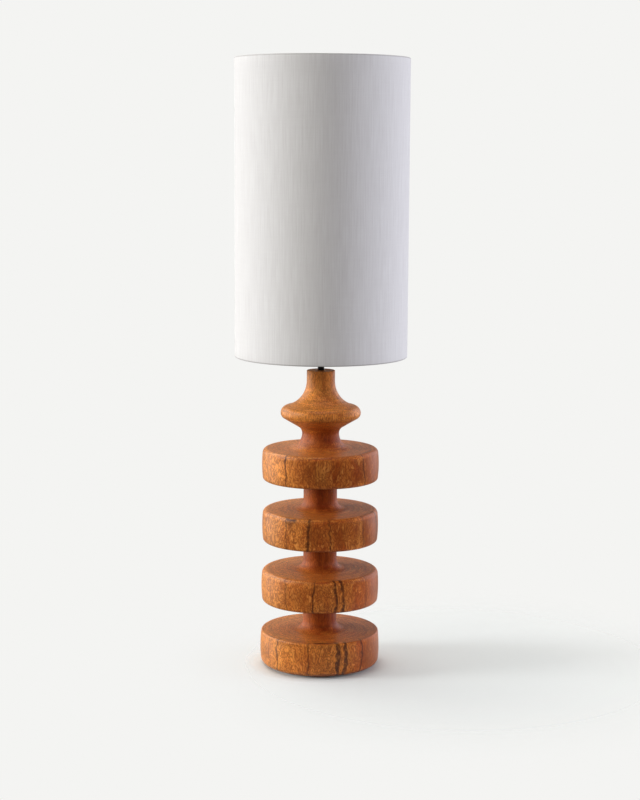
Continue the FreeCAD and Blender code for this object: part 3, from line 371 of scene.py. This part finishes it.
# Zinc plate on steel: bright, slightly blue, with a fine spangle and soft tumbled gloss.
zinc = grained_material("zinc_plated_steel", "#C9CDD2", "#A4A9AF", 0.8, 0.01, roughness=(0.28, 0.4),
                        Metallic=1)
dress(zinc, "foot_washer", "lock_washer", "foot_nut", "cap_lock_screw", "switch_spindle")

# Injection moulded nylon: an even matt black with the fine spark texture of its mould.
black_nylon = grained_material("moulded_black_nylon", "#1B1B1C", "#131314", 0.4, 0.02, roughness=(0.5, 0.6))
dress(black_nylon, "cord_bushing")


# Lamp tube: all-thread steel tube of 10 mm with a 1 mm pitch, black oxide finish. It runs from the nut in
# the foot up through the column into the lampholder, and shows between the finial and the shade.
TUBE_BORE, TUBE_CORE, TUBE_CREST, TUBE_PITCH = 4.0, 4.6, 5.0, 1.0
TUBE_STEPS = 48
THREAD_STEPS, TUBE_RIDGE_SIDES = 20, 4
SHARP_DEGREES = 40
tube_low, tube_high = (corner.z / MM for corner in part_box("lamp_tube"))


def spun_piece(name, outline, steps):
    """A piece spun round the lamp's axis from a closed outline of (radius, height) points in millimetres."""
    shell = bmesh.new()
    rows = []
    for step in range(steps):
        turn = 2 * math.pi * step / steps
        rows.append([shell.verts.new((r * MM * math.cos(turn), r * MM * math.sin(turn), z * MM))
                     for r, z in outline])
    for step, row in enumerate(rows):
        following = rows[(step + 1) % steps]
        for corner in range(len(outline)):
            after = (corner + 1) % len(outline)
            shell.faces.new((row[corner], following[corner], following[after], row[after]))
    bmesh.ops.remove_doubles(shell, verts=shell.verts, dist=MM / 1000)
    bmesh.ops.recalc_face_normals(shell, faces=shell.faces)
    mesh = bpy.data.meshes.new(name)
    shell.to_mesh(mesh)
    shell.free()
    mesh.shade_smooth()
    mesh.set_sharp_from_angle(angle=math.radians(SHARP_DEGREES))
    piece = bpy.data.objects.new(name, mesh)
    bpy.context.scene.collection.objects.link(piece)
    return piece


def thread_tree():
    """Geometry nodes that wind a closed ridge round the lamp's axis, from named sizes in metres."""
    tree = bpy.data.node_groups.new("wound_thread", "GeometryNodeTree")
    face = tree.interface
    face.new_socket("Geometry", in_out="OUTPUT", socket_type="NodeSocketGeometry")
    for name in ("Radius", "Pitch", "Low", "High", "Ridge Width", "Ridge Depth"):
        face.new_socket(name, in_out="INPUT", socket_type="NodeSocketFloat")
    for name in ("Steps", "Ridge Sides"):
        face.new_socket(name, in_out="INPUT", socket_type="NodeSocketInt")
    face.new_socket("Material", in_out="INPUT", socket_type="NodeSocketMaterial")
    sizes = add_node(tree, "NodeGroupInput").outputs
    rise = add_node(tree, "ShaderNodeMath", {0: sizes["High"], 1: sizes["Low"]}, operation="SUBTRACT")
    turns = add_node(tree, "ShaderNodeMath", {0: rise, 1: sizes["Pitch"]}, operation="DIVIDE")
    helix = add_node(tree, "GeometryNodeCurveSpiral",
                     {"Resolution": sizes["Steps"], "Rotations": turns, "Start Radius": sizes["Radius"],
                      "End Radius": sizes["Radius"], "Height": rise})
    normals = add_node(tree, "GeometryNodeSetCurveNormal", {"Curve": helix}, mode="Z_UP")
    base = add_node(tree, "ShaderNodeCombineXYZ", {"Z": sizes["Low"]})
    lifted = add_node(tree, "GeometryNodeTransform", {"Geometry": normals, "Translation": base})
    circle = add_node(tree, "GeometryNodeCurvePrimitiveCircle",
                      {"Resolution": sizes["Ridge Sides"], "Radius": 1.0})
    shape = add_node(tree, "ShaderNodeCombineXYZ",
                     {"X": sizes["Ridge Depth"], "Y": sizes["Ridge Width"], "Z": 1.0})
    flat_section = add_node(tree, "GeometryNodeTransform", {"Geometry": circle, "Scale": shape})
    ridge = add_node(tree, "GeometryNodeCurveToMesh",
                     {"Curve": lifted, "Profile Curve": flat_section, "Fill Caps": True})
    real = add_node(tree, "GeometryNodeRealizeInstances", {"Geometry": ridge})
    dressed = add_node(tree, "GeometryNodeSetMaterial", {"Geometry": real, "Material": sizes["Material"]})
    add_node(tree, "NodeGroupOutput", {"Geometry": dressed})
    return tree


WOUND_THREAD = thread_tree()


def add_thread(piece, sizes):
    """Winds a ridge with the node tree and welds it into a piece's mesh."""
    host = bpy.data.objects.new("thread_host", bpy.data.meshes.new("thread_host"))
    bpy.context.scene.collection.objects.link(host)
    modifier = host.modifiers.new("thread", "NODES")
    modifier.node_group = WOUND_THREAD
    for item in WOUND_THREAD.interface.items_tree:
        if item.in_out == "INPUT":
            modifier[item.identifier] = sizes[item.name]
    evaluated = host.evaluated_get(bpy.context.evaluated_depsgraph_get())
    ridge = bpy.data.meshes.new_from_object(evaluated)
    bpy.data.objects.remove(host)
    joined = bmesh.new()
    joined.from_mesh(piece.data)
    joined.from_mesh(ridge)
    joined.to_mesh(piece.data)
    joined.free()
    piece.data.shade_smooth()
    piece.data.set_sharp_from_angle(angle=math.radians(SHARP_DEGREES))


# Black oxide on steel: a thin blue-black skin, semi-matt, drifting a little in tone.
black_oxide = grained_material("black_oxide_steel", "#2A2A2C", "#151516", 0.6, 0.01, roughness=(0.38, 0.5),
                               Metallic=0.6)
threaded_tube = spun_piece("threaded_tube", [(TUBE_BORE, tube_low), (TUBE_CORE, tube_low),
                                             (TUBE_CORE, tube_high), (TUBE_BORE, tube_high)], TUBE_STEPS)
threaded_tube.data.materials.append(black_oxide)
add_thread(threaded_tube, {
    "Radius": TUBE_CORE * MM, "Pitch": TUBE_PITCH * MM, "Low": (tube_low + TUBE_PITCH) * MM,
    "High": (tube_high - TUBE_PITCH) * MM, "Ridge Width": TUBE_PITCH / 2 * MM,
    "Ridge Depth": (TUBE_CREST - TUBE_CORE) * MM, "Steps": THREAD_STEPS, "Ridge Sides": TUBE_RIDGE_SIDES,
    "Material": black_oxide})
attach(threaded_tube, "stand")
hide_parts("lamp_tube")


# Lampholder: a cap screwed on the tube, a skirt screwed on the cap, and the ring that clamps the shade,
# all moulded in black phenolic. Inside hangs a glazed porcelain insert with pressed brass contacts.
phenolic = grained_material("moulded_black_phenolic", "#1A1918", "#0F0F0F", 0.7, 0.008,
                            roughness=(0.22, 0.32))
dress(phenolic, "holder_cap", "holder_skirt", "clamp_ring", "switch_knob")

# Glazed porcelain: warm white, very smooth, with a faint orange-peel ripple in the glaze.
porcelain = grained_material("glazed_porcelain", "#EFEDE6", "#E4E1D8", 2.5, 0.02, roughness=(0.08, 0.16),
                             Coat_Weight=0.5)
dress(porcelain, "holder_insert")

# Pressed brass: yellow metal with faint drawing lines that run up and down, a little dulled.
brass = grained_material("pressed_brass", "#D9B45F", "#B98F3E", 0.5, 0.01, stretch=(1, 1, 8),
                         roughness=(0.25, 0.38), Metallic=1)
dress(brass, "switch_contact", "terminal_screws", "centre_contact", "screw_shell", "bulb_contact")

# Moulded white nylon: an even off-white with a soft gloss.
white_nylon = grained_material("moulded_white_nylon", "#E6E4DE", "#DAD8D1", 0.5, 0.015, roughness=(0.4, 0.5))
dress(white_nylon, "switch_rotor", "led_stem")


# Bulb: a tubular opal glass bulb with a nickel plated screw cap, a black glass insulator and four yellow
# light strips on a stem. The cap's thread is rolled into its sheet with a pitch of 3.63 mm.
CAP_CREST, CAP_CORE, CAP_WALL, CAP_PITCH = 13.25, 12.65, 0.5, 3.63
CAP_LIP, CAP_FLARE = 0.6, 1.2
CAP_RIDGE_WIDTH, CAP_THREAD_START, CAP_THREAD_END = 1.1, 4.5, 3.2
CAP_STEPS = 96
CAP_RIDGE_SIDES = 10
INSULATOR_RADIUS, CAP_HOLE, CAP_EDGE = 10, 8, 3
cap_low, cap_high = (corner.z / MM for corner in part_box("bulb_cap"))

# Bright nickel plate on a rolled brass shell.
nickel = grained_material("nickel_plated_shell", "#CFCBC4", "#B3AFA8", 0.6, 0.008, roughness=(0.18, 0.28),
                          Metallic=1)
threaded_cap = spun_piece("threaded_bulb_cap", [
    (CAP_HOLE, cap_low), (INSULATOR_RADIUS, cap_low), (CAP_CORE, cap_low + CAP_EDGE),
    (CAP_CORE, cap_high - CAP_FLARE), (CAP_CREST, cap_high - CAP_LIP), (CAP_CREST, cap_high),
    (CAP_CORE - CAP_WALL, cap_high), (CAP_CORE - CAP_WALL, cap_low + CAP_EDGE + CAP_WALL / 2),
    (INSULATOR_RADIUS - CAP_WALL / 2, cap_low + CAP_WALL), (CAP_HOLE, cap_low + CAP_WALL)], CAP_STEPS)
threaded_cap.data.materials.append(nickel)
add_thread(threaded_cap, {
    "Radius": CAP_CORE * MM, "Pitch": CAP_PITCH * MM, "Low": (cap_low + CAP_THREAD_START) * MM,
    "High": (cap_high - CAP_THREAD_END) * MM, "Ridge Width": CAP_RIDGE_WIDTH * MM,
    "Ridge Depth": (CAP_CREST - CAP_CORE) * MM, "Steps": CAP_STEPS, "Ridge Sides": CAP_RIDGE_SIDES,
    "Material": nickel})
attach(threaded_cap, "bulb")
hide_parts("bulb_cap")

# Black cap glass: poured, fire-smooth and deep black.
cap_glass = grained_material("black_cap_glass", "#17161A", "#0C0C0E", 1.5, 0.01, roughness=(0.06, 0.14))
dress(cap_glass, "bulb_insulator")

# Opal glass: a white silica coat inside clear glass, so the surface is glossy and the body milky.
opal = grained_material("opal_glass", "#F4F3EF", "#EBEAE5", 6, 0.01, roughness=(0.08, 0.16),
                        Transmission_Weight=0.15)
dress(opal, "bulb_glass")

# Silicone with yellow phosphor over the light strips: matt and slightly lumpy.
phosphor = grained_material("phosphor_silicone", "#E6BC3E", "#D6A52E", 0.5, 0.05, roughness=(0.55, 0.7))
dress(phosphor, "led_filaments")


# Shade frame: a flat fitter ring, three spokes and two wire rings, bent from steel wire, welded and
# powder coated white.
powder_coat = grained_material("white_powder_coat", "#EDEDEA", "#E2E2DE", 0.7, 0.03, roughness=(0.35, 0.45))
dress(powder_coat, "fitter_ring", "fitter_arm_1", "fitter_arm_2", "fitter_arm_3", "shade_bottom_ring",
      "shade_top_ring")

# Lining: translucent white film that the linen is bonded to, smooth, with a faint ripple.
lining = grained_material("white_lining_film", "#F0F0EE", "#E9E9E6", 9, 0.03, roughness=(0.35, 0.45))
dress(lining, "shade_liner")


# Shade cover: plain woven white linen bonded to the lining and rolled in over both wire rings, with a
# 12 mm lap at the back and a slit in the lower hem where each spoke passes. Sizes are in millimetres, and
# bearings in degrees from the right to the back, one column of cloth to a degree.
SHADE_RADIUS, CLOTH_THICK, HEM_RADIUS, HEM_DROP = 126.65, 0.7, 121.85, 9
EDGE_ROUND, EDGE_STEPS = 1.2, 5
WALL_ROWS = 34
CLOTH_COLUMNS = 360
LAP_FROM, LAP_TO, LAP_STEP = 93, 98.4, 0.45
SPOKE_BEARINGS = (90, 210, 330)
NOTCH_COLUMNS = 1
FOLD_DEGREES = 50
shade_low, shade_high = (corner.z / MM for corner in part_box("shade_fabric"))


def cloth_section():
    """The cover's line in section, from the lower hem's edge round the outside to the upper hem's edge."""
    low, high = shade_low + CLOTH_THICK / 2, shade_high - CLOTH_THICK / 2
    inner, outer = HEM_RADIUS + EDGE_ROUND, SHADE_RADIUS - EDGE_ROUND
    line = [(HEM_RADIUS, shade_low + HEM_DROP), (HEM_RADIUS, shade_low + HEM_DROP / 2)]
    corners = ((inner, low + EDGE_ROUND, 180), (outer, low + EDGE_ROUND, 270),
               (outer, high - EDGE_ROUND, 0), (inner, high - EDGE_ROUND, 90))
    for number, (centre_r, centre_z, start) in enumerate(corners):
        for step in range(EDGE_STEPS + 1):
            angle = math.radians(start + 90 * step / EDGE_STEPS)
            line.append((centre_r + EDGE_ROUND * math.cos(angle), centre_z + EDGE_ROUND * math.sin(angle)))
        if number == 1:
            bottom, top = low + EDGE_ROUND, high - EDGE_ROUND
            line += [(SHADE_RADIUS, bottom + (top - bottom) * row / WALL_ROWS) for row in range(1, WALL_ROWS)]
    line += [(HEM_RADIUS, shade_high - HEM_DROP / 2), (HEM_RADIUS, shade_high - HEM_DROP)]
    return line


section = cloth_section()
along = [0]
for before, after in zip(section, section[1:]):
    along.append(along[-1] + math.dist(before, after))
lower_hem_rows = 2 + EDGE_STEPS
cloth = bmesh.new()
weave_map = cloth.loops.layers.uv.new("UVMap")
grid = []
for column in range(CLOTH_COLUMNS):
    bearing_degrees = column + 0.5
    turn = math.radians(bearing_degrees)
    lap = LAP_STEP if LAP_FROM < bearing_degrees < LAP_TO else 0
    points = []
    for r, z in section:
        lapped = r + (lap if r > SHADE_RADIUS - EDGE_ROUND else 0)
        points.append(cloth.verts.new((lapped * MM * math.cos(turn), lapped * MM * math.sin(turn), z * MM)))
    grid.append(points)
for column in range(CLOTH_COLUMNS):
    following = (column + 1) % CLOTH_COLUMNS
    slit = any(abs(column + 1 - spoke) <= NOTCH_COLUMNS for spoke in SPOKE_BEARINGS)
    for row in range(len(section) - 1):
        if slit and row < lower_hem_rows - 1:
            continue
        face = cloth.faces.new((grid[column][row], grid[following][row],
                                grid[following][row + 1], grid[column][row + 1]))
        left, right = (math.radians(column + step) * SHADE_RADIUS * MM for step in (0, 1))
        corners = ((left, row), (right, row), (right, row + 1), (left, row + 1))
        for loop, (arc, at) in zip(face.loops, corners):
            loop[weave_map].uv = (arc, along[at] * MM)
bmesh.ops.delete(cloth, geom=[vertex for vertex in cloth.verts if not vertex.link_faces], context="VERTS")
cloth_mesh = bpy.data.meshes.new("shade_linen")
cloth.to_mesh(cloth_mesh)
cloth.free()
cloth_mesh.shade_smooth()
shade_linen = bpy.data.objects.new("shade_linen", cloth_mesh)
bpy.context.scene.collection.objects.link(shade_linen)
thickness = shade_linen.modifiers.new("cloth", "SOLIDIFY")
thickness.thickness = CLOTH_THICK * MM
thickness.offset = 0
thickness.use_even_offset = True
evaluated = shade_linen.evaluated_get(bpy.context.evaluated_depsgraph_get())
solid_cloth = bpy.data.meshes.new_from_object(evaluated)
shade_linen.modifiers.clear()
shade_linen.data = solid_cloth
solid_cloth.set_sharp_from_angle(angle=math.radians(FOLD_DEGREES))

# Bleached linen in plain weave: matt white yarns of about 0.5 mm with slubs, drawn here about twice as
# coarse so that they show, over slow uneven tones where the yarn's thickness drifts. Both edges carry a
# painted shadow of the wire rings, a grey band. Sizes are in millimetres.
YARN = 1.15
SLUB_WIDTH, SLUB_LENGTH = 2.0, 60
WEFT_SHARE, RIB_SHARE = 0.2, 0.35
LINEN_RELIEF = 0.13
LINEN_LIGHT, LINEN_DARK = "#F7F7F7", "#ECEBEB"
LINEN_RING_SHADOW = "#A9A6A4"
RING_SHADOW, SHADOW_FROM, SHADOW_TO = 0.6, 2.6, 0.6
linen, tree = new_material("bleached_plain_linen")
weave = add_node(tree, "ShaderNodeUVMap", uv_map="UVMap")
weave_mm = add_node(tree, "ShaderNodeVectorMath", {"Vector": weave, "Scale": 1 / MM}, operation="SCALE")
yarns = []
for stretch in ((SLUB_WIDTH, SLUB_LENGTH), (SLUB_LENGTH, SLUB_WIDTH)):
    slub_place = add_node(tree, "ShaderNodeVectorMath",
                          {0: weave_mm, 1: (1 / stretch[0], 1 / stretch[1], 0)}, operation="MULTIPLY")
    slub = add_node(tree, "ShaderNodeTexNoise",
                    {"Vector": slub_place, "Scale": 1, "Detail": 3, "Roughness": 0.65})
    yarns.append(slub.outputs["Fac"])
slubs = add_node(tree, "ShaderNodeMath", {0: yarns[1], 1: WEFT_SHARE, 2: yarns[0]}, operation="MULTIPLY_ADD")
coordinates = add_node(tree, "ShaderNodeSeparateXYZ", {"Vector": weave_mm})
ribs = []
for axis in "XY":
    phase = add_node(tree, "ShaderNodeMath", {0: coordinates.outputs[axis], 1: 2 * math.pi / YARN},
                     operation="MULTIPLY")
    ribs.append(add_node(tree, "ShaderNodeMath", {0: phase}, operation="SINE"))
crossing = add_node(tree, "ShaderNodeMath", {0: ribs[0], 1: ribs[1]}, operation="MULTIPLY")
relief = add_node(tree, "ShaderNodeMath", {0: crossing, 1: RIB_SHARE, 2: slubs}, operation="MULTIPLY_ADD")
tone_factor = add_node(tree, "ShaderNodeMapRange", {"Value": slubs, "From Min": 0.4, "From Max": 0.8})
linen_tone = add_node(tree, "ShaderNodeMix",
                      {"Factor": tone_factor, "A": linear(LINEN_DARK), "B": linear(LINEN_LIGHT)},
                      data_type="RGBA")
heights = add_node(tree, "ShaderNodeTexCoord").outputs["Object"]
cloth_height = add_node(tree, "ShaderNodeSeparateXYZ", {"Vector": heights}).outputs["Z"]
middle_height = (shade_low + shade_high) / 2 * MM
half_height = (shade_high - shade_low) / 2 * MM
from_middle = add_node(tree, "ShaderNodeMath", {0: cloth_height, 1: middle_height}, operation="SUBTRACT")
off_middle = add_node(tree, "ShaderNodeMath", {0: from_middle}, operation="ABSOLUTE")
# Painted shadow: a grey band near both edges, where the wire rings sit inside the cloth.
ring_shadow_share = add_node(tree, "ShaderNodeMapRange",
                     {"Value": off_middle, "From Min": half_height - SHADOW_FROM * MM,
                      "From Max": half_height - SHADOW_TO * MM, "To Max": RING_SHADOW},
                     interpolation_type="SMOOTHSTEP")
linen_shown = add_node(tree, "ShaderNodeMix",
                       {"Factor": ring_shadow_share, "A": linen_tone, "B": linear(LINEN_RING_SHADOW)}, data_type="RGBA")
linen_bump = add_node(tree, "ShaderNodeBump",
                      {"Height": relief, "Distance": LINEN_RELIEF * MM, "Strength": 1})
linen_surface = add_node(tree, "ShaderNodeBsdfPrincipled",
                         {"Base Color": linen_shown, "Roughness": 0.9, "Normal": linen_bump,
                          "Specular IOR Level": 0.2, "Sheen Weight": 0.05})
add_node(tree, "ShaderNodeOutputMaterial", {"Surface": linen_surface})
shade_linen.data.materials.append(linen)
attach(shade_linen, "shade")
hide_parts("shade_fabric")


# Floor and backdrop: a pale seamless sweep that runs out of sight. Only the lamp's own shadow marks it. It
# fades into the pale background away from the lamp, and is whole right under it, where the foot touches.
FLOOR_LEVEL = -0.0005
FLOOR_SIZE = 6.0
FADE_FROM, FADE_TO = 0.08, 0.46
FADE_NEAR = 0.22
CONTACT_FROM, CONTACT_TO = 0.084, 0.115
FADE_CENTRE = (0.2, 0, 0)
FLOOR_TONE = "#EFF5F5"
FLOOR_BOUNCE = "#A0A09E"
BACKGROUND = "#F4F4F2"

floor_mesh = bpy.data.meshes.new("floor")
floor_shape = bmesh.new()
bmesh.ops.create_grid(floor_shape, x_segments=8, y_segments=8, size=FLOOR_SIZE / 2,
                      matrix=Matrix.Translation((0, 0, FLOOR_LEVEL)))
floor_shape.to_mesh(floor_mesh)
floor_shape.free()
floor = bpy.data.objects.new("floor", floor_mesh)
bpy.context.scene.collection.objects.link(floor)
paper, tree = new_material("seamless_paper")
rays = add_node(tree, "ShaderNodeLightPath").outputs
floor_place = add_node(tree, "ShaderNodeTexCoord").outputs["Object"]
distance = add_node(tree, "ShaderNodeVectorMath", {0: floor_place, 1: FADE_CENTRE}, operation="DISTANCE")
seen = add_node(tree, "ShaderNodeMath", {0: rays["Is Camera Ray"], 1: rays["Is Glossy Ray"]},
                operation="MAXIMUM")
seen_tone = add_node(tree, "ShaderNodeMix",
                     {"Factor": seen, "A": linear(FLOOR_BOUNCE), "B": linear(FLOOR_TONE)}, data_type="RGBA")
lit_paper = add_node(tree, "ShaderNodeBsdfDiffuse", {"Color": seen_tone})
clear = add_node(tree, "ShaderNodeBsdfTransparent")
fade = add_node(tree, "ShaderNodeMapRange",
                {"Value": distance, "From Min": FADE_FROM, "From Max": FADE_TO, "To Min": FADE_NEAR,
                 "To Max": 1.0}, interpolation_type="SMOOTHSTEP")
from_axis = add_node(tree, "ShaderNodeVectorMath", {"Vector": floor_place}, operation="LENGTH")
past_contact = add_node(tree, "ShaderNodeMapRange",
                        {"Value": from_axis, "From Min": CONTACT_FROM, "From Max": CONTACT_TO},
                        interpolation_type="SMOOTHSTEP")
clear_share = add_node(tree, "ShaderNodeMath", {0: fade, 1: past_contact}, operation="MULTIPLY")
paper_surface = add_node(tree, "ShaderNodeMixShader", {0: clear_share, 1: lit_paper, 2: clear})
add_node(tree, "ShaderNodeOutputMaterial", {"Surface": paper_surface})
floor.data.materials.append(paper)

# The world shows the pale background to the camera and through glass. Gloss sees it dimmed, most towards the
# dark end of the studio where the camera stands, and matt surfaces get only a weak warm light from it.
AMBIENT = 0.13
AMBIENT_TONE = "#FFF1DE"
FRONT_GLOSS, BACK_GLOSS = 0.03, 0.42
world = bpy.data.worlds.new("studio")
bpy.context.scene.world = world
world.use_nodes = True
tree = world.node_tree
tree.nodes.clear()
rays = add_node(tree, "ShaderNodeLightPath").outputs
direction = add_node(tree, "ShaderNodeTexCoord").outputs["Generated"]
towards = add_node(tree, "ShaderNodeSeparateXYZ", {"Vector": direction}).outputs["Y"]
backdrop_share = add_node(tree, "ShaderNodeMapRange",
                          {"Value": towards, "From Min": 0.0, "From Max": 1.0, "To Min": FRONT_GLOSS,
                           "To Max": BACK_GLOSS}, interpolation_type="SMOOTHSTEP")
gloss_share = add_node(tree, "ShaderNodeMath", {0: rays["Is Glossy Ray"], 1: backdrop_share},
                       operation="MULTIPLY")
direct = add_node(tree, "ShaderNodeMath", {0: rays["Is Camera Ray"], 1: rays["Is Transmission Ray"]},
                  operation="MAXIMUM")
shown = add_node(tree, "ShaderNodeMath", {0: direct, 1: gloss_share}, operation="MAXIMUM")
matt_share = add_node(tree, "ShaderNodeMapRange",
                      {"Value": rays["Is Glossy Ray"], "To Min": AMBIENT, "To Max": 0.0})
strength = add_node(tree, "ShaderNodeMath", {0: shown, 1: matt_share}, operation="MAXIMUM")
sky_tone = add_node(tree, "ShaderNodeMix",
                    {"Factor": shown, "A": linear(AMBIENT_TONE), "B": linear(BACKGROUND)}, data_type="RGBA")
sky = add_node(tree, "ShaderNodeBackground", {"Color": sky_tone, "Strength": strength})
add_node(tree, "ShaderNodeOutputWorld", {"Surface": sky})

# Lights: low soft boxes and a card for matt surfaces, two wide strips and a small glint seen only in gloss,
# as a panel's reflection is wider than a sun's, and a soft box overhead for both. Bearing runs from the
# front to the right, and power is what falls on a surface that faces the light.
LIGHTS = {
    "left_softbox": {"bearing": -83, "elevation": 16, "spread": 20, "power": 0.75, "colour": "#FFFFFF"},
    "left_strip": {"bearing": -108, "elevation": 18, "spread": 75, "power": 0.62, "colour": "#FFFFFF"},
    "left_glint": {"bearing": -78, "elevation": 32, "spread": 16, "power": 0.10, "colour": "#FFFFFF"},
    "left_card": {"bearing": -55, "elevation": 12, "spread": 30, "power": 0.22, "colour": "#FFFFFF"},
    "overhead_softbox": {"bearing": -148, "elevation": 62, "spread": 60, "power": 0.50, "colour": "#FFFDF8"},
    "right_softbox": {"bearing": 86, "elevation": 12, "spread": 50, "power": 0.82, "colour": "#F0F2FF"},
    "right_strip": {"bearing": 128, "elevation": 15, "spread": 60, "power": 0.28, "colour": "#F0F2FF"},
}
GLOSS_ONLY = ("left_strip", "left_glint", "right_strip")
MATT_ONLY = ("left_softbox", "left_card", "right_softbox")
for name, light in LIGHTS.items():
    sun = bpy.data.lights.new(name, "SUN")
    sun.energy = light["power"] * math.pi
    sun.angle = math.radians(light["spread"])
    sun.color = linear(light["colour"])[:3]
    lamp = bpy.data.objects.new(name, sun)
    lamp.matrix_world = (Matrix.Rotation(math.radians(light["bearing"]), 4, "Z")
                         @ Matrix.Rotation(math.radians(90 - light["elevation"]), 4, "X"))
    lamp.visible_diffuse = name not in GLOSS_ONLY
    lamp.visible_glossy = name not in MATT_ONLY
    bpy.context.scene.collection.objects.link(lamp)
